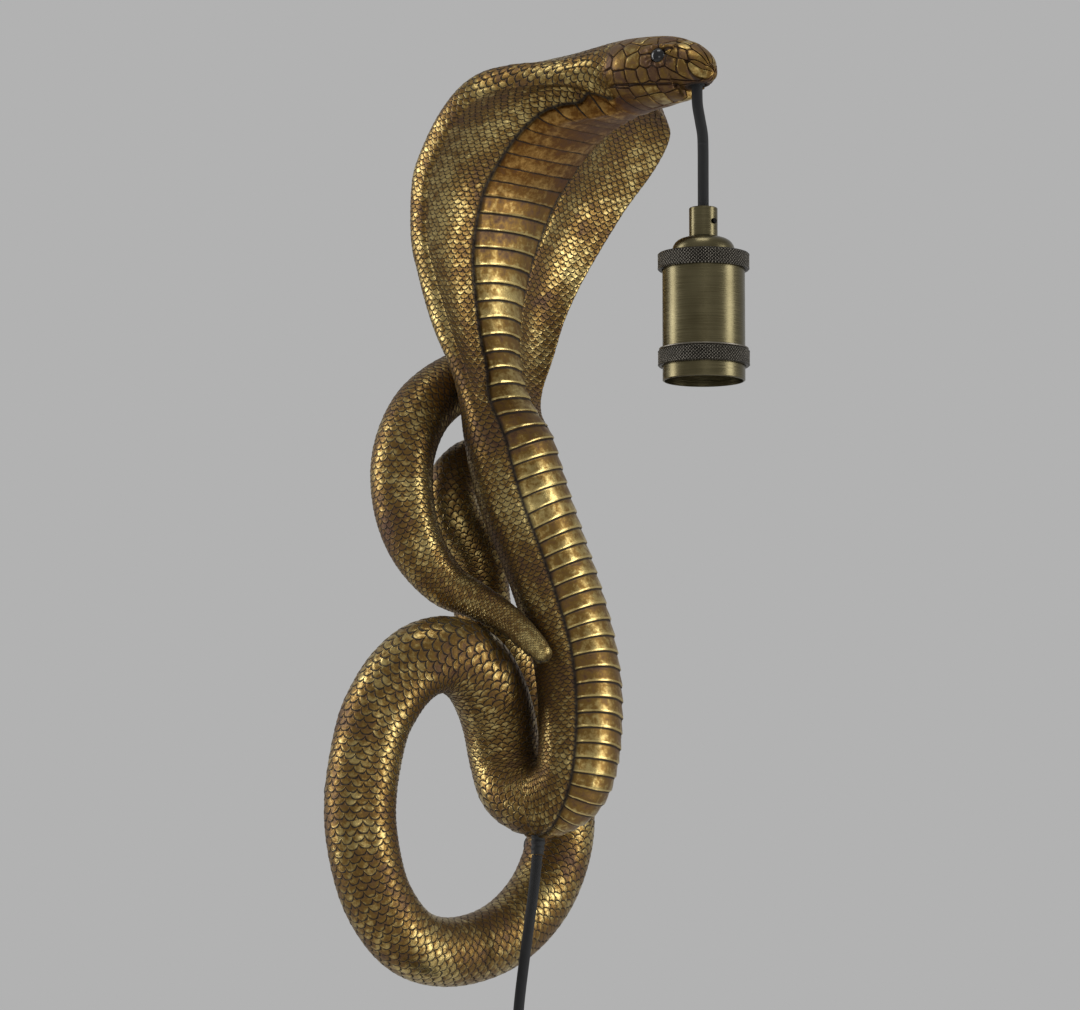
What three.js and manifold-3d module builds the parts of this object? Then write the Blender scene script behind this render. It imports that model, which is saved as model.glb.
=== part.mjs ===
// A cobra wall lamp: a cast snake that hangs on the wall and holds a pendant lampholder on a
// textile cord in its mouth. Millimetres, +Z up, the wall is the plane y = 0 and the lamp stands
// out of it towards -Y. The origin is the keyhole in the back, where the wall screw's neck rests.
import * as THREE from 'three';
import { mergeVertices } from 'three/addons/utils/BufferGeometryUtils.js';
import Module from 'manifold-3d';

const wasm = await Module();
wasm.setup();

// Driving dimensions

const SEAT_GAP = 0.3;

// The hood stands in an upright plane of its own
const HOOD_PLANE_X = 6;

// Neck, hood and head from the lower seam to the snout. Each row is a cross-section:
// x, y and z of its middle, half width, belly offset, back offset, rim thickness, and how far it is
// a spread hood (1) or a plain round body (0)
const NECK_ROWS = [
  [9.5, -61.6, -25.1, 23.2, 23.2, 23.2, 12, 0],
  [7.7, -61.2, -13, 23.4, 18.5, 23.8, 12, 0.08],
  [6.7, -61, -1, 24.5, 11.5, 24.8, 12, 0.3],
  [HOOD_PLANE_X, -61.2, 12.4, 29, 5, 27, 12, 0.6],
  [HOOD_PLANE_X, -60, 29.8, 37.5, 2.5, 27.5, 13, 0.9],
  [HOOD_PLANE_X, -59.5, 46.3, 44.5, 2, 28, 14, 1],
  [HOOD_PLANE_X, -60.9, 63.7, 53, 1, 29, 14, 1],
  [HOOD_PLANE_X, -64, 79.1, 61, 0, 30, 14, 1],
  [HOOD_PLANE_X, -72.8, 99.7, 69.4, -1, 31, 14, 1],
  [HOOD_PLANE_X, -80.5, 111.7, 73, 0, 31.5, 14, 1],
  [HOOD_PLANE_X, -97.8, 130, 75.8, 3, 31, 14, 1],
  [HOOD_PLANE_X, -111.8, 143.5, 72, 9.5, 28, 14, 1],
  [HOOD_PLANE_X, -121, 149.5, 60, 13, 25, 14, 0.95],
  [HOOD_PLANE_X, -130, 153.5, 44, 16, 22.5, 13, 0.75],
  [HOOD_PLANE_X, -140, 157, 29, 18.5, 20.5, 12, 0.35],
  [HOOD_PLANE_X, -151, 159, 22, 19, 19.5, 12, 0],
];
const HEAD_ROWS = [
  [HOOD_PLANE_X, -165, 159.3, 22.5, 18.5, 18.5, 12, 0],
  [HOOD_PLANE_X, -178, 159, 20, 17.5, 17.5, 12, 0],
  [HOOD_PLANE_X, -187, 158, 17.5, 16.2, 16.3, 12, 0],
  [HOOD_PLANE_X, -192.6, 157.2, 15.2, 15, 14.6, 12, 0],
  [HOOD_PLANE_X, -194.2, 157, 14.8, 10.6, 14.2, 12, 0],
  [HOOD_PLANE_X, -200, 155.5, 12, 9, 12, 12, 0],
  [HOOD_PLANE_X, -205, 154, 8.5, 7, 9, 12, 0],
  [HOOD_PLANE_X, -208, 153, 4.5, 4, 5, 12, 0],
];

// The round body's middle line and its radius, from the neck seam to the tail tip
const BODY_ROWS = [
  [9.5, -61.6, -25.1, 23.2],
  [16.5, -65, -51.2, 23.6],
  [25.2, -70, -77.3, 22.6],
  [32.8, -75, -103.4, 22.4],
  [38.1, -80, -129.7, 22],
  [38.6, -84, -157, 21.9],
];
const TURN_MIDDLE = [30.4, -64, -186];
const TURN_HEADING = [-0.252, 0.967, 0];
const TURN_RADIUS = 22;
const TURN_BODY_RADII = [21, 19.9, 19.2, 18.9, 18.8];
const COIL_ROWS = [
  [18.6, -44, -166.5, 19.2],
  [9, -46.3, -151.5, 19.5],
  [-3, -47, -139.6, 19.8],
  [-18, -44.5, -133.6, 19.8],
  [-31.5, -39.5, -136.2, 19.6],
  [-41.5, -33.5, -145.3, 19.2],
  [-49.5, -28.5, -159, 18.9],
  [-54.8, -24.5, -175.1, 18.6],
  [-59.2, -21.8, -204.6, 18.4],
  [-58.1, -21.6, -230.3, 18.3],
  [-47.2, -21.4, -259.7, 18],
  [-24.2, -21.2, -281.3, 17.9],
  [6.9, -21, -286.4, 17.8],
  [42.9, -21, -277.2, 17.8],
  [71.2, -21, -255.9, 17.7],
  [86.4, -21, -227.6, 17.6],
  [87.2, -21, -200.8, 17.3],
  [76.5, -21, -169.1, 16.9],
  [55.9, -20.5, -139.7, 16.3],
];
const TAIL_ROWS = [
  [33.4, -19, -112.7, 15.5],
  [24, -22, -80, 14.6],
  [9.5, -20, -57, 13.9],
  [9.5, -17.5, -41, 13.7],
  [20, -17.5, -29.5, 13.7],
  [34, -17.5, -24.5, 13.7],
  [48, -17.5, -18.5, 13.8],
  [55, -17.5, -5, 14],
  [51.5, -17.5, 9.5, 14.2],
  [38, -17.5, 18.5, 14.6],
  [16.3, -18, 17.3, 15.2],
  [-12.6, -19, -0.8, 15.9],
  [-27.9, -20, -25.8, 16.2],
  [-29.9, -21.5, -51.5, 16],
  [-24.7, -26, -75.1, 14.6],
  [-12.7, -34, -94.3, 12.2],
  [-2.6, -48.5, -104.6, 9.8],
  [3, -65, -114.6, 8],
  [6.3, -80.5, -127.4, 6.6],
  [7.2, -87.5, -134, 5.2],
];
const BODY_RING_SIDES = 16;
const NECK_RING_SIDES = 32;

// Mounting boss and its keyhole hanger
const BOSS_RADIUS = 15;
const BOSS_FACE_DEPTH = 4;
const BOSS_DEPTH = 11;
const BOSS_ROOT_RADIUS = 7.5;
const PLATE_RADIUS = 11.5;
const PLATE_THICKNESS = 1.5;
const PLATE_RECESS = 1.2;
const KEYHOLE_HEAD_RADIUS = 4.5;
const KEYHOLE_NECK_RADIUS = 2.3;
const KEYHOLE_DROP = 6;
const SCREW_POCKET_DEPTH = 7;
const PLATE_SCREW_SPREAD = 8;
const PLATE_SCREW_RADIUS = 1.3;
const PLATE_SCREW_LENGTH = 4;
const PLATE_SCREW_HEAD = 2.4;
const BUMPER_RADIUS = 6;
const BUMPER_SPOTS = [8, 13, 15];

// Cords
const CORD_RADIUS = 2.8;
const CORD_SIDES = 8;
const INNER_LEAD_SIDES = 6;
const CHANNEL_RADIUS = 4.3;
const SLEEVE_RADIUS = 6;
const SLEEVE_LENGTH = 30;
const DOWEL_RADIUS = 4;
const DOWEL_LENGTH = 28;

// Pendant: the cord leaves the mouth here and hangs down to the lampholder
const MOUTH_Y = -199.7;
const MOUTH_Z = 145;
const HOLDER_Y = -203.7;
const CORD_MIDDLE_Z = 115;
const MOUTH_HOLE_RADIUS = 4.3;
const BUSH_LENGTH = 4.5;

// Lampholder, all on one upright axis. Heights are above the wall screw
const HOLDER_SEGMENTS = 24;
const GRIP_TOP_Z = 84.4;
const GRIP_LENGTH = 14.8;
const GRIP_RADIUS = 7.2;
const GRIP_BORE_RADIUS = 3.3;
const GRUB_RADIUS = 1.5;
const GRUB_DROP = 7.5;
const GRUB_PROUD = 0.9;
const NIPPLE_RADIUS = 4.9;
const NIPPLE_BORE_RADIUS = 3.4;
const NIPPLE_LENGTH = 18;
const NIPPLE_IN_GRIP = 3.8;
const DOME_HEIGHT = 9.6;
const DOME_RADIUS = 16.2;
const CAP_SKIRT = 7;
const WALL = 0.95;
const SHELL_RADIUS = 20.85;
const SHELL_BOTTOM_Z = -4;
const RING_WALL = 2.05;
const RING_HEIGHT = 8.2;
const RING_LIP = 0.8;
const EDGE_EASE = 0.6;
const SHADE_RING_TOP_Z = 11.4;
const SHADE_RING_HEIGHT = 7.9;
const SHADE_WASHER_THICKNESS = 0.9;
const INSULATOR_TOP_Z = 46;
const INSULATOR_BASE = 6;
const INSULATOR_BOTTOM_Z = 9;
const INSULATOR_WALL = 3.6;
const LAMP_THREAD_RADIUS = 13.5;
const LAMP_THREAD_WALL = 1.2;
const LAMP_THREAD_LENGTH = 22;
const THREAD_DROP = 1.5;
const CONTACT_RADIUS = 3.5;
const CONTACT_TIP_RADIUS = 1.6;
const CONTACT_HEIGHT = 3;
const TERMINAL_RADIUS = 2.2;
const TERMINAL_HEIGHT = 3;
const TERMINAL_SPREAD = 11;

// Mains lead: it leaves the underside of the lowest bend and hangs to a stored coil
const RELIEF_TOP = [30, -63, -214];
const RELIEF_TIP = [29.4, -61.6, -236];
const RELIEF_ROOT_RADIUS = 4.4;
const RELIEF_TIP_RADIUS = 3.5;
const COIL_ENTRY = [25, -50, -370];
const COIL_TURNS_PER_LAYER = 2;
const COIL_LAYERS = 4;
const COIL_INNER_RADIUS = 25;
const COIL_TURN_PITCH = 7;
const COIL_LAYER_PITCH = 6.6;
const COIL_STEPS = 24;
const COIL_SIDES = 6;
const TIE_WIDTH = 12;
const TIE_THICKNESS = 1.2;

// Inline switch and plug, one below the other on the hanging end of the lead
const SWITCH_DROP = 36;
const SWITCH_LENGTH = 56;
const SWITCH_WIDTH = 24;
const SWITCH_DEPTH = 17;
const SWITCH_WALL = 2;
const ROCKER_LENGTH = 17;
const ROCKER_WIDTH = 10;
const ROCKER_DEPTH = 4.2;
const ROCKER_PROUD = 1.2;
const ROCKER_TIP = 8;
const SWITCH_SCREW_RADIUS = 1.4;
const SWITCH_SCREW_SIDE_INSET = 4.5;
const SWITCH_SCREW_END_INSET = 5.5;
const SWITCH_END_WALL = 8;
const PLUG_LEAD = 24;
const PLUG_LENGTH = 35;
const PLUG_WIDTH = 26;
const PLUG_DEPTH = 13.5;
const PIN_SPREAD = 19;
const PIN_RADIUS = 2;
const PIN_LENGTH = 19;

// Finishes
const FINISH = {
  castGold: { color: 0x7a6634, roughness: 0.38, metalness: 0.85 },
  glassEye: { color: 0x0b0a09, roughness: 0.08, metalness: 0 },
  steel: { color: 0x9a9a96, roughness: 0.4, metalness: 1 },
  rubber: { color: 0x1c1c1c, roughness: 0.8, metalness: 0 },
  textileCord: { color: 0x17171a, roughness: 0.9, metalness: 0 },
  brass: { color: 0x8a7f5c, roughness: 0.35, metalness: 1 },
  darkBrass: { color: 0x4a463a, roughness: 0.45, metalness: 1 },
  porcelain: { color: 0xe9e6de, roughness: 0.25, metalness: 0 },
  blackPlastic: { color: 0x141414, roughness: 0.45, metalness: 0 },
  tieCloth: { color: 0x202022, roughness: 0.95, metalness: 0 },
};

const lamp = new THREE.Group();

// Turning geometries into closed solids, and back

const DEGREE = Math.PI / 180;
const UP = new THREE.Vector3(0, 0, 1);
const point = (row) => new THREE.Vector3(row[0], row[1], row[2]);

function signedVolume(geometry) {
  const p = geometry.attributes.position;
  const index = geometry.index;
  const [a, b, c] = [new THREE.Vector3(), new THREE.Vector3(), new THREE.Vector3()];
  let sum = 0;
  for (let i = 0; i < index.count; i += 3) {
    a.fromBufferAttribute(p, index.getX(i));
    b.fromBufferAttribute(p, index.getX(i + 1));
    c.fromBufferAttribute(p, index.getX(i + 2));
    sum += a.dot(b.cross(c));
  }
  return sum / 6;
}

function toSolid(geometry) {
  const bare = geometry.clone();
  for (const name of Object.keys(bare.attributes)) {
    if (name !== 'position') bare.deleteAttribute(name);
  }
  const merged = mergeVertices(bare, 1e-4);
  const outward = signedVolume(merged) > 0;
  const triangles = [];
  for (let i = 0; i < merged.index.count; i += 3) {
    const [a, b, c] = [0, 1, 2].map((k) => merged.index.getX(i + k));
    if (a === b || b === c || c === a) continue;
    triangles.push(a, outward ? b : c, outward ? c : b);
  }
  return new wasm.Manifold(new wasm.Mesh({
    numProp: 3,
    vertProperties: Float32Array.from(merged.attributes.position.array),
    triVerts: Uint32Array.from(triangles),
  }));
}

function toGeometry(solid) {
  const mesh = solid.getMesh();
  const geometry = new THREE.BufferGeometry();
  geometry.setAttribute('position', new THREE.BufferAttribute(Float32Array.from(mesh.vertProperties), 3));
  geometry.setIndex(Array.from(mesh.triVerts));
  geometry.computeVertexNormals();
  return geometry;
}

// Joins the added geometries to the first one and cuts the others out of it
function shaped(base, { add = [], cut = [] } = {}) {
  let solid = toSolid(base);
  for (const other of add) solid = solid.add(toSolid(other));
  for (const other of cut) solid = solid.subtract(toSolid(other));
  return toGeometry(solid);
}

function addPiece(name, geometry, finish) {
  const mesh = new THREE.Mesh(geometry, new THREE.MeshStandardMaterial(FINISH[finish]));
  mesh.name = name;
  lamp.add(mesh);
  return mesh;
}

// A profile of [radius, height] turned round an upright axis, in whichever order faces outwards
function turned(profile, x, y, segments = HOLDER_SEGMENTS) {
  const outline = profile.map(([r, z]) => new THREE.Vector2(r, z));
  const trial = new THREE.LatheGeometry(outline, segments);
  const geometry = signedVolume(trial) > 0 ? trial : new THREE.LatheGeometry(outline.reverse(), segments);
  return geometry.rotateX(Math.PI / 2).translate(x, y, 0);
}

function ringProfile(inner, outer, low, high) {
  return [[inner, low], [outer, low], [outer, high], [inner, high], [inner, low]];
}

// A straight round bar between two points, with its own radius at each end
function bar(from, to, radius, sides = 16, endRadius = radius) {
  const axis = to.clone().sub(from);
  const geometry = new THREE.CylinderGeometry(endRadius, radius, axis.length(), sides);
  const turn = new THREE.Quaternion().setFromUnitVectors(new THREE.Vector3(0, 1, 0), axis.clone().normalize());
  return geometry.applyQuaternion(turn).translate(...from.clone().add(to).multiplyScalar(0.5).toArray());
}

function ball(centre, radius, across = 12, down = 8) {
  return new THREE.SphereGeometry(radius, across, down).translate(centre.x, centre.y, centre.z);
}

// A plate in the x-z plane, from its front at y to its back at y + thickness
function plate(shape, y, thickness, curveSegments = 12) {
  const geometry = new THREE.ExtrudeGeometry(shape, { depth: thickness, bevelEnabled: false, curveSegments });
  return geometry.rotateX(Math.PI / 2).translate(0, y + thickness, 0);
}

function roundedBox(width, height, radius) {
  const shape = new THREE.Shape();
  const [w, h] = [width / 2, height / 2];
  shape.moveTo(-w + radius, -h);
  shape.lineTo(w - radius, -h);
  shape.absarc(w - radius, -h + radius, radius, -Math.PI / 2, 0);
  shape.lineTo(w, h - radius);
  shape.absarc(w - radius, h - radius, radius, 0, Math.PI / 2);
  shape.lineTo(-w + radius, h);
  shape.absarc(-w + radius, h - radius, radius, Math.PI / 2, Math.PI);
  shape.lineTo(-w, -h + radius);
  shape.absarc(-w + radius, -h + radius, radius, Math.PI, Math.PI * 1.5);
  return shape;
}

// A round cord through a list of points
function cordTube(points, radius, steps, sides = CORD_SIDES) {
  const curve = new THREE.CatmullRomCurve3(points, false, 'centripetal');
  const section = new THREE.Shape();
  for (let i = 0; i < sides; i += 1) {
    const a = (i + 0.5) / sides * Math.PI * 2;
    const corner = [radius * Math.cos(a), radius * Math.sin(a)];
    if (i === 0) section.moveTo(...corner);
    else section.lineTo(...corner);
  }
  section.closePath();
  return new THREE.ExtrudeGeometry(section, {
    steps, extrudePath: curve, bevelEnabled: false, curveSegments: 1,
  });
}

// Rings of equal count joined into a closed skin, with a fan over each end
function skin(rings) {
  const sides = rings[0].length;
  const positions = rings.flat().flatMap((p) => [p.x, p.y, p.z]);
  const triangles = [];
  for (let r = 0; r + 1 < rings.length; r += 1) {
    for (let s = 0; s < sides; s += 1) {
      const a = r * sides + s;
      const b = r * sides + (s + 1) % sides;
      triangles.push(a, b, a + sides, b, b + sides, a + sides);
    }
  }
  for (const [end, first] of [[0, 0], [1, (rings.length - 1) * sides]]) {
    const middle = new THREE.Vector3();
    const ring = rings[end ? rings.length - 1 : 0];
    for (const p of ring) middle.addScaledVector(p, 1 / sides);
    const hub = positions.length / 3;
    positions.push(middle.x, middle.y, middle.z);
    for (let s = 0; s < sides; s += 1) {
      const next = first + (s + 1) % sides;
      if (end) triangles.push(first + s, next, hub);
      else triangles.push(next, first + s, hub);
    }
  }
  const geometry = new THREE.BufferGeometry();
  geometry.setAttribute('position', new THREE.Float32BufferAttribute(positions, 3));
  geometry.setIndex(triangles);
  return geometry;
}

// A tube of flat-sided rings through every point of a list, carried along without twist
function tubeAlong(points, radius, sides) {
  let out = new THREE.Vector3(1, 0, 0);
  const rings = points.map((p, i) => {
    const way = points[Math.min(i + 1, points.length - 1)].clone().sub(points[Math.max(i - 1, 0)]).normalize();
    out = out.clone().addScaledVector(way, -out.dot(way)).normalize();
    const along = new THREE.Vector3().crossVectors(way, out);
    return Array.from({ length: sides }, (_, k) => {
      const a = k / sides * Math.PI * 2;
      return p.clone().addScaledVector(out, radius * Math.cos(a)).addScaledVector(along, radius * Math.sin(a));
    });
  });
  return skin(rings);
}

// The snake's middle line

// Rows of numbers read as one smooth curve: place is the row number, with a fraction between rows
function smoothRow(rows, place) {
  const last = rows.length - 1;
  const i = Math.min(Math.floor(place), last - 1);
  const t = place - i;
  const before = i > 0 ? rows[i - 1] : rows[0].map((v, k) => 2 * v - rows[1][k]);
  const after = i + 2 <= last ? rows[i + 2] : rows[last].map((v, k) => 2 * v - rows[last - 1][k]);
  return rows[i].map((b, k) => {
    const [a, c, d] = [before[k], rows[i + 1][k], after[k]];
    return 0.5 * (2 * b + (c - a) * t + (2 * a - 5 * b + 4 * c - d) * t * t + (3 * b - a - 3 * c + d) * t ** 3);
  });
}

const turnRows = TURN_BODY_RADII.map((radius, i) => {
  const angle = i / (TURN_BODY_RADII.length - 1) * Math.PI;
  const along = -Math.cos(angle) * TURN_RADIUS;
  const place = point(TURN_MIDDLE).addScaledVector(point(TURN_HEADING), along);
  return [place.x, place.y, place.z - Math.sin(angle) * TURN_RADIUS, radius];
});
const bodyRows = [...BODY_ROWS, ...turnRows, ...COIL_ROWS, ...TAIL_ROWS];
const SEAM_BODY = BODY_ROWS.length + TURN_BODY_RADII.length + 1;
const SEAM_TAIL = BODY_ROWS.length + TURN_BODY_RADII.length + COIL_ROWS.length - 1;
const neckRows = [...NECK_ROWS, ...HEAD_ROWS];

function tangentAt(rows, place) {
  const step = 0.02;
  const ahead = point(smoothRow(rows, Math.min(place + step, rows.length - 1)));
  const behind = point(smoothRow(rows, Math.max(place - step, 0)));
  return ahead.sub(behind).normalize();
}

// Frames carried along the round body without twist. The belly starts out facing the room
const FRAME_STEPS = 4;
const bodyFrames = [];
let carriedBelly = new THREE.Vector3(0, -1, 0);
for (let k = 0; k <= (bodyRows.length - 1) * FRAME_STEPS; k += 1) {
  const tangent = tangentAt(bodyRows, k / FRAME_STEPS);
  carriedBelly = carriedBelly.clone().addScaledVector(tangent, -carriedBelly.dot(tangent)).normalize();
  bodyFrames.push({ tangent, belly: carriedBelly });
}

function bodyFrame(place) {
  const k = Math.min(Math.round(place * FRAME_STEPS), bodyFrames.length - 1);
  const row = smoothRow(bodyRows, place);
  const { tangent, belly } = bodyFrames[k];
  const side = new THREE.Vector3().crossVectors(belly, tangent);
  return { middle: point(row), radius: row[3], tangent, belly, side };
}

function bodyRing(place, shift = 0) {
  const { middle, radius, tangent, belly, side } = bodyFrame(place);
  return Array.from({ length: BODY_RING_SIDES }, (_, i) => {
    const a = i / BODY_RING_SIDES * Math.PI * 2;
    return middle.clone().addScaledVector(tangent, shift)
      .addScaledVector(belly, radius * Math.cos(a)).addScaledVector(side, radius * Math.sin(a));
  });
}

function bodySkin(from, to, stepsPerRow) {
  const rings = [bodyRing(from, SEAT_GAP / 2)];
  for (let k = from * stepsPerRow + 1; k < to * stepsPerRow; k += 1) rings.push(bodyRing(k / stepsPerRow));
  rings.push(bodyRing(to, -SEAT_GAP / 2));
  return skin(rings);
}

// Neck, hood and head

// Half of a spread hood's section, from the middle of the belly round the rim to the middle of the
// back: sideways as a share of the half width plus millimetres, and how far it lies towards the belly
const HOOD_VALLEY = 4;
function hoodSection(i, halfWidth, bellyOffset, backOffset, rim) {
  const rise = backOffset - rim;
  const half = [
    [0, bellyOffset],
    [0.16 * halfWidth, bellyOffset - 0.6],
    [0.3 * halfWidth, bellyOffset - 2.5],
    [0.44 * halfWidth, -HOOD_VALLEY],
    [0.6 * halfWidth, -HOOD_VALLEY - 1],
    [0.76 * halfWidth, -HOOD_VALLEY],
    [0.9 * halfWidth, -1.5],
    [halfWidth, 0],
    [halfWidth + 1.5, -0.35 * rim],
    [halfWidth + 0.5, -0.75 * rim],
    [halfWidth - 4, -1.05 * rim],
    [0.82 * halfWidth, -rim - 0.12 * rise],
    [0.62 * halfWidth, -rim - 0.38 * rise],
    [0.42 * halfWidth, -rim - 0.72 * rise],
    [0.25 * halfWidth, -rim - 0.92 * rise],
    [0.12 * halfWidth, -rim - 0.98 * rise],
    [0, -backOffset],
  ];
  const mirrored = i > NECK_RING_SIDES / 2;
  const [across, out] = half[mirrored ? NECK_RING_SIDES - i : i];
  return [mirrored ? -across : across, out];
}

function roundSection(i, halfWidth, bellyOffset, backOffset) {
  const a = i / NECK_RING_SIDES * Math.PI * 2;
  const reach = Math.cos(a) > 0 ? bellyOffset : backOffset;
  return [halfWidth * Math.sin(a), reach * Math.cos(a)];
}

function neckFrame(place) {
  const row = smoothRow(neckRows, place);
  const tangent = tangentAt(neckRows, place);
  const across = new THREE.Vector3(1, 0, 0).addScaledVector(tangent, -tangent.x).normalize();
  const belly = new THREE.Vector3().crossVectors(across, tangent).normalize();
  if (place < 1e-6) {
    const seam = bodyFrame(0);
    const seamTangent = seam.tangent.clone().negate();
    return { row, middle: point(row), tangent: seamTangent, across: seam.side, belly: seam.belly };
  }
  return { row, middle: point(row), tangent, across, belly };
}

function neckRing(place, shift = 0) {
  const { row, middle, tangent, across, belly } = neckFrame(place);
  const [halfWidth, bellyOffset, backOffset, rim, spread] = row.slice(3);
  return Array.from({ length: NECK_RING_SIDES }, (_, i) => {
    const round = roundSection(i, halfWidth, bellyOffset, backOffset);
    const hood = hoodSection(i, halfWidth, bellyOffset, backOffset, rim);
    const side = THREE.MathUtils.lerp(round[0], hood[0], spread);
    const out = THREE.MathUtils.lerp(round[1], hood[1], spread);
    return middle.clone().addScaledVector(tangent, shift)
      .addScaledVector(across, side).addScaledVector(belly, out);
  });
}

const neckRings = [neckRing(0, SEAT_GAP / 2)];
const NECK_STEPS = 1.5;
for (let k = 1; k <= (neckRows.length - 1) * NECK_STEPS; k += 1) neckRings.push(neckRing(k / NECK_STEPS));
const neckSkin = skin(neckRings);

// The lead's way through the castings, from the underside of the lowest bend to the mouth
const reliefTop = point(RELIEF_TOP);
const reliefTip = point(RELIEF_TIP);
const mouth = new THREE.Vector3(HOOD_PLANE_X, MOUTH_Y, MOUTH_Z);
const INNER_LEAD_GAP = CORD_RADIUS + SEAT_GAP;
const innerRoute = [
  reliefTop,
  new THREE.Vector3(31.5, -69, -200),
  new THREE.Vector3(34, -78, -182),
  new THREE.Vector3(37, -82, -160),
  new THREE.Vector3(37.5, -80, -130),
  new THREE.Vector3(31, -74, -98),
  new THREE.Vector3(20, -67, -62),
  new THREE.Vector3(11.3, -62, -32),
  new THREE.Vector3(8.2, -59, -14),
  new THREE.Vector3(6.7, -53, 3),
  new THREE.Vector3(HOOD_PLANE_X, -48, 26),
  new THREE.Vector3(HOOD_PLANE_X, -46.5, 52),
  new THREE.Vector3(HOOD_PLANE_X, -49.5, 78),
  new THREE.Vector3(HOOD_PLANE_X, -59.5, 105),
  new THREE.Vector3(HOOD_PLANE_X, -75, 127.5),
  new THREE.Vector3(HOOD_PLANE_X, -97, 146),
  new THREE.Vector3(HOOD_PLANE_X, -125, 156),
  new THREE.Vector3(HOOD_PLANE_X, -152, 159.6),
  new THREE.Vector3(HOOD_PLANE_X, -178, 161.8),
  new THREE.Vector3(HOOD_PLANE_X, -190, 162),
  new THREE.Vector3(HOOD_PLANE_X, -197.4, 158.8),
  new THREE.Vector3(HOOD_PLANE_X, MOUTH_Y, MOUTH_Z + INNER_LEAD_GAP + BUSH_LENGTH + 0.6),
  new THREE.Vector3(HOOD_PLANE_X, MOUTH_Y, MOUTH_Z + INNER_LEAD_GAP),
];
const innerLeadStart = reliefTop.clone().addScaledVector(reliefTop.clone().sub(reliefTip).normalize(), SEAT_GAP);
const innerCurve = new THREE.CatmullRomCurve3([innerLeadStart, ...innerRoute.slice(1)], false, 'centripetal');
const innerLine = innerCurve.getPoints(2 * (innerRoute.length - 1));
const mouthBelow = new THREE.Vector3(HOOD_PLANE_X, MOUTH_Y, MOUTH_Z - CORD_RADIUS);
const channel = () => tubeAlong([reliefTip, ...innerLine, mouthBelow], CHANNEL_RADIUS, INNER_LEAD_SIDES);

// Castings

const seamFrame = bodyFrame(0);
const sleeveEnds = (length) => [1, -1].map((way) => (
  seamFrame.middle.clone().addScaledVector(seamFrame.tangent, way * length / 2)
));
const sleeveBore = () => bar(...sleeveEnds(SLEEVE_LENGTH + 2 * SEAT_GAP), SLEEVE_RADIUS + SEAT_GAP);

function dowelEnds(place, length) {
  const { middle, tangent } = bodyFrame(place);
  return [-1, 1].map((way) => middle.clone().addScaledVector(tangent, way * length / 2));
}
const dowelBore = (place) => bar(...dowelEnds(place, DOWEL_LENGTH + 2 * SEAT_GAP), DOWEL_RADIUS + SEAT_GAP, 12);

const EYE_RADIUS = 4.4;
const EYE_PLACE = { across: 14.6, y: -187, z: 162.7 };
const eyeAt = (way) => new THREE.Vector3(HOOD_PLANE_X + way * EYE_PLACE.across, EYE_PLACE.y, EYE_PLACE.z);
const mouthHole = bar(
  new THREE.Vector3(HOOD_PLANE_X, MOUTH_Y, MOUTH_Z - 6),
  new THREE.Vector3(HOOD_PLANE_X, MOUTH_Y, MOUTH_Z + 9),
  MOUTH_HOLE_RADIUS,
);

const eyeSocket = (way) => ball(eyeAt(way), EYE_RADIUS + SEAT_GAP);
addPiece('hood_casting', shaped(neckSkin, {
  cut: [channel(), sleeveBore(), mouthHole, eyeSocket(-1), eyeSocket(1)],
}), 'castGold');

const reliefBore = bar(
  reliefTop.clone().addScaledVector(reliefTip.clone().sub(reliefTop).normalize(), -SEAT_GAP),
  reliefTip,
  RELIEF_ROOT_RADIUS + SEAT_GAP,
);
addPiece('body_casting', shaped(bodySkin(0, SEAM_BODY, 2), {
  cut: [channel(), sleeveBore(), reliefBore, dowelBore(SEAM_BODY)],
}), 'castGold');

addPiece('coil_casting', shaped(bodySkin(SEAM_BODY, SEAM_TAIL, 2), {
  cut: [dowelBore(SEAM_BODY), dowelBore(SEAM_TAIL)],
}), 'castGold');

const keyholeHead = new THREE.Vector3(0, 0, -KEYHOLE_DROP);
const bossFace = 0;
const plateFace = -PLATE_RECESS;
const plateBack = plateFace - PLATE_THICKNESS;
const plateMiddleZ = -KEYHOLE_DROP / 2;

function keyholeOutline(target, head, neck) {
  target.absarc(0, 0, neck, 0, Math.PI);
  target.lineTo(-neck, -KEYHOLE_DROP);
  target.absarc(0, -KEYHOLE_DROP, head, Math.PI - Math.asin(0), Math.PI * 2);
  target.lineTo(neck, 0);
  return target;
}

const disc = (radius, z) => new THREE.Shape().absarc(0, z, radius, 0, Math.PI * 2);
const screwPocket = plate(
  keyholeOutline(new THREE.Shape(), KEYHOLE_HEAD_RADIUS + SEAT_GAP, KEYHOLE_HEAD_RADIUS),
  plateBack - SCREW_POCKET_DEPTH,
  SCREW_POCKET_DEPTH + 1,
);
const plateBed = plate(disc(PLATE_RADIUS + SEAT_GAP, plateMiddleZ), plateBack - SEAT_GAP, PLATE_THICKNESS + 3);
const plateScrewAt = (way) => new THREE.Vector3(way * PLATE_SCREW_SPREAD, 0, plateMiddleZ);
const screwBore = (way) => bar(
  plateScrewAt(way).setY(plateBack - PLATE_SCREW_LENGTH),
  plateScrewAt(way).setY(bossFace + 1),
  PLATE_SCREW_RADIUS + SEAT_GAP,
  10,
);
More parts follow.
